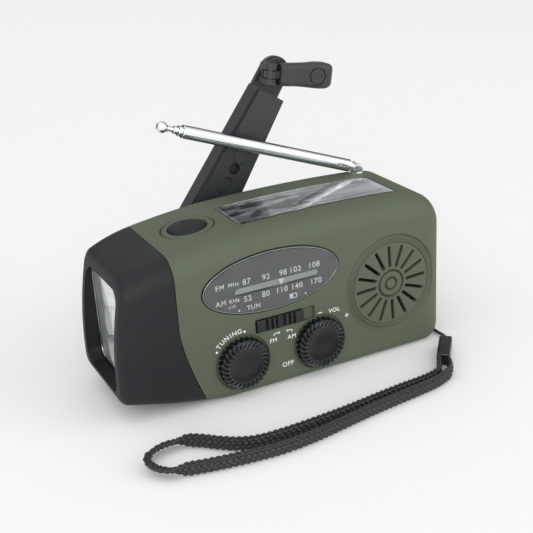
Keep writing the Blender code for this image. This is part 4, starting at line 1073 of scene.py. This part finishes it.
def knob_swivel():
    """The plate that swivels on the arm, with two lugs for the knob and a riveted stud."""
    plate = [(KNOB_PIN - 1.6, -3.2), (KNOB_PIN - 1.6, 3.2)] + arc((0, 0), 5.4, 110, -10, 23)
    base = prism("swivel_plate", plate, 30.1, 31.7, "Y", SWIVEL)
    lug = [(KNOB_PIN - LUG_R, 31.0), (KNOB_PIN + LUG_R, 31.0)]
    lug += arc((KNOB_PIN, KNOB_PIN_Y), LUG_R, 0, -15, 13)
    joins = [prism("lug", lug, low, high, "Z", SWIVEL)
             for low, high in ((-LUG_OUTER, -LUG_INNER), (LUG_INNER, LUG_OUTER))]
    stud = [(0, 31.5), (1.6, 31.5), (1.6, 34.4), (3.0, 34.4), (3.0, 34.9), (2.2, 35.5), (0, 35.6)]
    joins.append(turned("stud", stud, SWIVEL @ along((0, 1, 0)), 32))
    mesh = carve(base, *joins, operation="UNION")
    mesh = carve(mesh, rod("pin_way", (KNOB_PIN, KNOB_PIN_Y, 0), 9, FOLD_BORE, SWIVEL, 24))
    piece("swivel", mesh, "knob_swivel", "black_plastic", "knob_swivel", bevel=0.15, finish="crank_plastic_lit")


def grip_ring(s, half_z, front, back):
    return [(s, y, z) for y, z in rounded(front + back, 2 * half_z, 1.9, ((back - front) / 2, 0), 6)]


def crank_grip():
    """The folding knob: swelling, waisted and swelling again, with a plug near its free end."""
    stations = []
    parts = 5
    ends = (GRIP_RINGS[0],) + GRIP_RINGS + (GRIP_RINGS[-1],)
    for a, b, c, d in zip(ends, ends[1:], ends[2:], ends[3:]):
        for i in range(parts):
            stations.append([between(i / parts, *values) for values in zip(a, b, c, d)])
    stations.append(GRIP_RINGS[-1])
    mesh = loft("grip", [grip_ring(*station) for station in stations], matrix=FOLD)
    mesh = carve(mesh, box("grip_neck", (0, -1.9, -1.3), (5, 1.9, 1.3), FOLD),
                 rod("grip_eye", (0, 0, 0), 1.3, 2.5, FOLD), operation="UNION")
    facing = FOLD @ at(PLUG_S, 0, 0)
    mesh = carve(mesh, rod("grip_bore", (0, 0, 0), 9, FOLD_BORE, FOLD, 24),
                 prism("plug_seat", round_hole((0, 0), PLUG_R + 0.35, 8), -8, -2.4, "Y", facing))
    piece("grip", mesh, "crank_knob", "black_plastic", "crank_knob", sharp=45, bevel=0.15,
          finish="crank_plastic_lit")
    plug = carve(prism("plug", round_hole((0, 0), PLUG_R, 8), -3.1, -2.6, "Y", facing),
                 box("plug_groove", (-1.7, -4, -0.4), (1.7, -2.85, 0.4), facing))
    piece("plug", plug, "crank_knob", "black_plastic", "knob_plug", bevel=0.08, finish="crank_plastic_lit")


# ---------- aerial ----------

TILT = Matrix.Translation(AERIAL) @ Matrix.Rotation(math.pi + AERIAL_RISE, 4, "Y") @ along((1, 0, 0))


def tube_profile(outer, inner, bore_from, start, end):
    """A round tube from start to end, its mouth curled in a little, with its blind end filled in."""
    lip = 0.25
    profile = [(0, start), (outer - lip, start), (outer, start + lip)]
    steps = 60
    profile += [(outer, start + 0.5 + (end - start - 1.0) * n / steps) for n in range(steps + 1)]
    return profile + [(outer, end - lip), (outer - 0.15, end), (inner + 0.02, end), (inner, end - 0.2),
                      (inner, bore_from), (0, bore_from)]


def crimp(radius, height, angle):
    """Pairs of dimples that hold the knuckle in the first tube."""
    if radius < 2.3:
        return 0, 0
    near = sum(math.exp(-((height - s) / 0.5) ** 2) for s in (6.0, 8.7))
    return -0.4 * near * max(0.0, math.cos(2 * angle)) ** 6, 0


def aerial():
    """Three tubes and a thin rod with a ball, on a foot with a fork."""
    for n, (outer, inner, start, end) in enumerate(TUBES):
        bore_from = start + 3 if n == 0 else start + 0.4
        profile = tube_profile(outer, inner, bore_from, start, end)
        mesh = turned("tube", profile, TILT, 48, crimp if n == 0 else None)
        if n == 0:
            mesh = with_knuckle(mesh)
        piece(f"tube_{n + 1}", mesh, f"antenna_{n + 1}", "chrome", f"antenna_{n + 1}", sharp=30,
              finish="tube_chrome")
    profile = [(0, ROD_START), (ROD_R, ROD_START), (ROD_R, ROD_END), (0, ROD_END)]
    piece("rod", turned("rod", profile, TILT, 32), "antenna_4", "chrome", "antenna_4")
    centre, radius = ROD_END + 2.4, 2.1
    profile = [(0, centre - 2.1), (1.25, centre - 2.1), (1.3, centre - 1.75)]
    profile += arc((0, centre), radius, -50, 8, 12)
    profile += [(1.25, centre + 1.7), (1.1, centre + 1.85), (0, centre + 1.95)]
    piece("ball", turned("ball", profile, TILT, 40), "antenna_4", "chrome", "antenna_tip", sharp=30)
    aerial_foot()


def with_knuckle(tube):
    """The first tube with the flat knuckle that the pin goes through."""
    local = TILT @ along((1, 0, 0)).inverted()
    knuckle = prism("knuckle", [(0, -1.3), (4.6, -1.3), (4.6, 1.3), (0, 1.3)], -0.9, 0.9, "Y", local)
    eye = prism("eye", round_hole((0, 0), 1.45, 32), -0.9, 0.9, "Y", local)
    mesh = carve(tube, knuckle, eye, operation="UNION")
    return carve(mesh, prism("bore", round_hole((0, 0), AERIAL_BORE, 16), -5, 5, "Y", local))


def aerial_foot():
    """The turning foot, with a fork for the knuckle."""
    base = [(0, -1.7), (2.3, -1.7), (2.7, -1.8), (2.9, -2.0), (2.9, -2.3), (1.3, -2.3), (1.3, -7.0),
            (0, -7.0)]
    here = Matrix.Translation(AERIAL)
    outline = [(-1.8, -1.9), (1.8, -1.9)] + arc((0, 0), 1.8, 0, 12, 16)
    forks = [prism("fork", outline, low, high, "Y", here) for low, high in ((-2.1, -1.2), (1.2, 2.1))]
    foot = carve(turned("foot", base, here, 48), *forks, operation="UNION")
    foot = carve(foot, prism("fork_bore", round_hole((0, 0), AERIAL_BORE, 16), -5, 5, "Y", here))
    piece("foot", foot, "antenna_base", "chrome", "antenna_base", bevel=0.1)


# ---------- strap ----------

def strap():
    """The knot inside the case, the thin cord, the ferrule and the braided loop."""
    ferrule = make_ferrule()
    knot = make_knot()
    curve = bpy.data.curves.new("wrist_cord", "CURVE")
    curve.dimensions = "3D"
    curve.bevel_depth = CORD_R * MM
    curve.bevel_resolution = 5
    curve.use_fill_caps = True
    points = smooth_route(CORD_ROUTE, 0.6)
    spline = curve.splines.new("POLY")
    spline.points.add(len(points) - 1)
    for spot, point in zip(spline.points, points):
        spot.co = (*(point * MM), 1)
    cord = piece("wrist_cord", curve, "case", "braid", "strap_cord")
    braid()


def make_knot():
    """The cord's knot, wound round itself, just inside its hole."""
    x, y, z = CORD_ROUTE[0]
    apart = 2.1
    profile = [(0, -1.8), (0.9, -1.6), (1.5, -1.0), (1.7, 0), (1.5, 1.0), (0.9, 1.6), (0, 1.8)]
    place = at(x - apart * STRAP_WAY[0], y, z - apart * STRAP_WAY[1]) @ along((STRAP_WAY[0], 0, STRAP_WAY[1]))

    def wound(radius, height, angle):
        return 0.2 * math.sin(3 * angle + 2 * height), 0

    return piece("knot", turned("knot", profile, place, 32, wound), "case", "braid", "strap_knot")


def make_ferrule():
    """A square plastic block with softened edges, where the cord meets the braid."""
    run = FERRULE_TO - FERRULE_FROM
    place = Matrix.Translation(FERRULE_FROM) @ Matrix.Rotation(math.atan2(run.y, run.x), 4, "Z")
    outline = rounded(2 * FERRULE_HALF, 2 * FERRULE_HALF, 0.9)
    rings = []
    for x, inset in ((0.0, 0.8), (0.1, 0.35), (0.5, 0.0), (run.length - 0.5, 0.0), (run.length - 0.1, 0.35),
                     (run.length, 0.8)):
        shrink = 1 - inset / FERRULE_HALF
        rings.append([(x, y * shrink, z * shrink) for y, z in outline])
    block = loft("ferrule", rings, matrix=place)
    return piece("ferrule", block, "case", "black_plastic", "strap_ferrule", sharp=50, finish="knob_plastic")


def braid():
    """A flat plaited strap that stands on its edge and leans over round the far end of its loop."""
    path = smooth_route(BRAID_ROUTE, PLAIT_STEP)
    apex = min(range(len(path)), key=lambda n: path[n].x)
    leaning = Vector((-0.4, -0.83, 0.38))
    around = 44
    rings = []
    for n, point in enumerate(path):
        before, after = path[max(0, n - 1)], path[min(len(path) - 1, n + 1)]
        forward = (after - before).normalized()
        near, far = (-49.0, -57.0) if n < apex else (-56.0, -64.0)
        lean = eased((point.x - near) / (far - near))
        width = Vector((0, 0, 1)).lerp(leaning, lean)
        width = (width - forward * width.dot(forward)).normalized()
        side = forward.cross(width)
        turns = [2 * math.pi * i / around for i in range(around)]
        rings.append([point + plait(n * PLAIT_STEP, turn, width, side) for turn in turns])
    strap_braid = piece("wrist_braid", loft("wrist_braid", rings), "case", "braid", "strap_braid", sharp=80)


def plait(travel, turn, width, side):
    """One point of the braid's section: leaning strands in columns on both faces."""
    across, out = math.sin(turn), math.cos(turn)
    column = 2.0 * across
    lean = 1 if math.floor(column + 0.5) % 2 else -1
    strand = abs(math.sin(math.pi * (travel / 2.0 + lean * 0.6 * column)))
    valley = abs(math.cos(math.pi * column)) ** 0.6
    relief = 0.15 + 0.95 * strand * valley
    thick = BRAID_THICK * math.copysign(abs(out) ** 0.6, out) * relief
    return width * (BRAID_HALF * across * (0.9 + 0.12 * strand)) + side * thick


# ---------- whole object ----------

camera()
studio()
strap()
finish_cad_nodes()
front_shell()
back_cover()
hood()
screws()
torch()
torch_button()
solar()
dial()
knob("tuning_cap", TUNING, "tuning_knob")
knob("volume_cap", VOLUME, "volume_knob")
band_switch()
case_lettering()
port_cover()
crank_hub()
crank_arm()
knob_swivel()
crank_grip()
aerial()
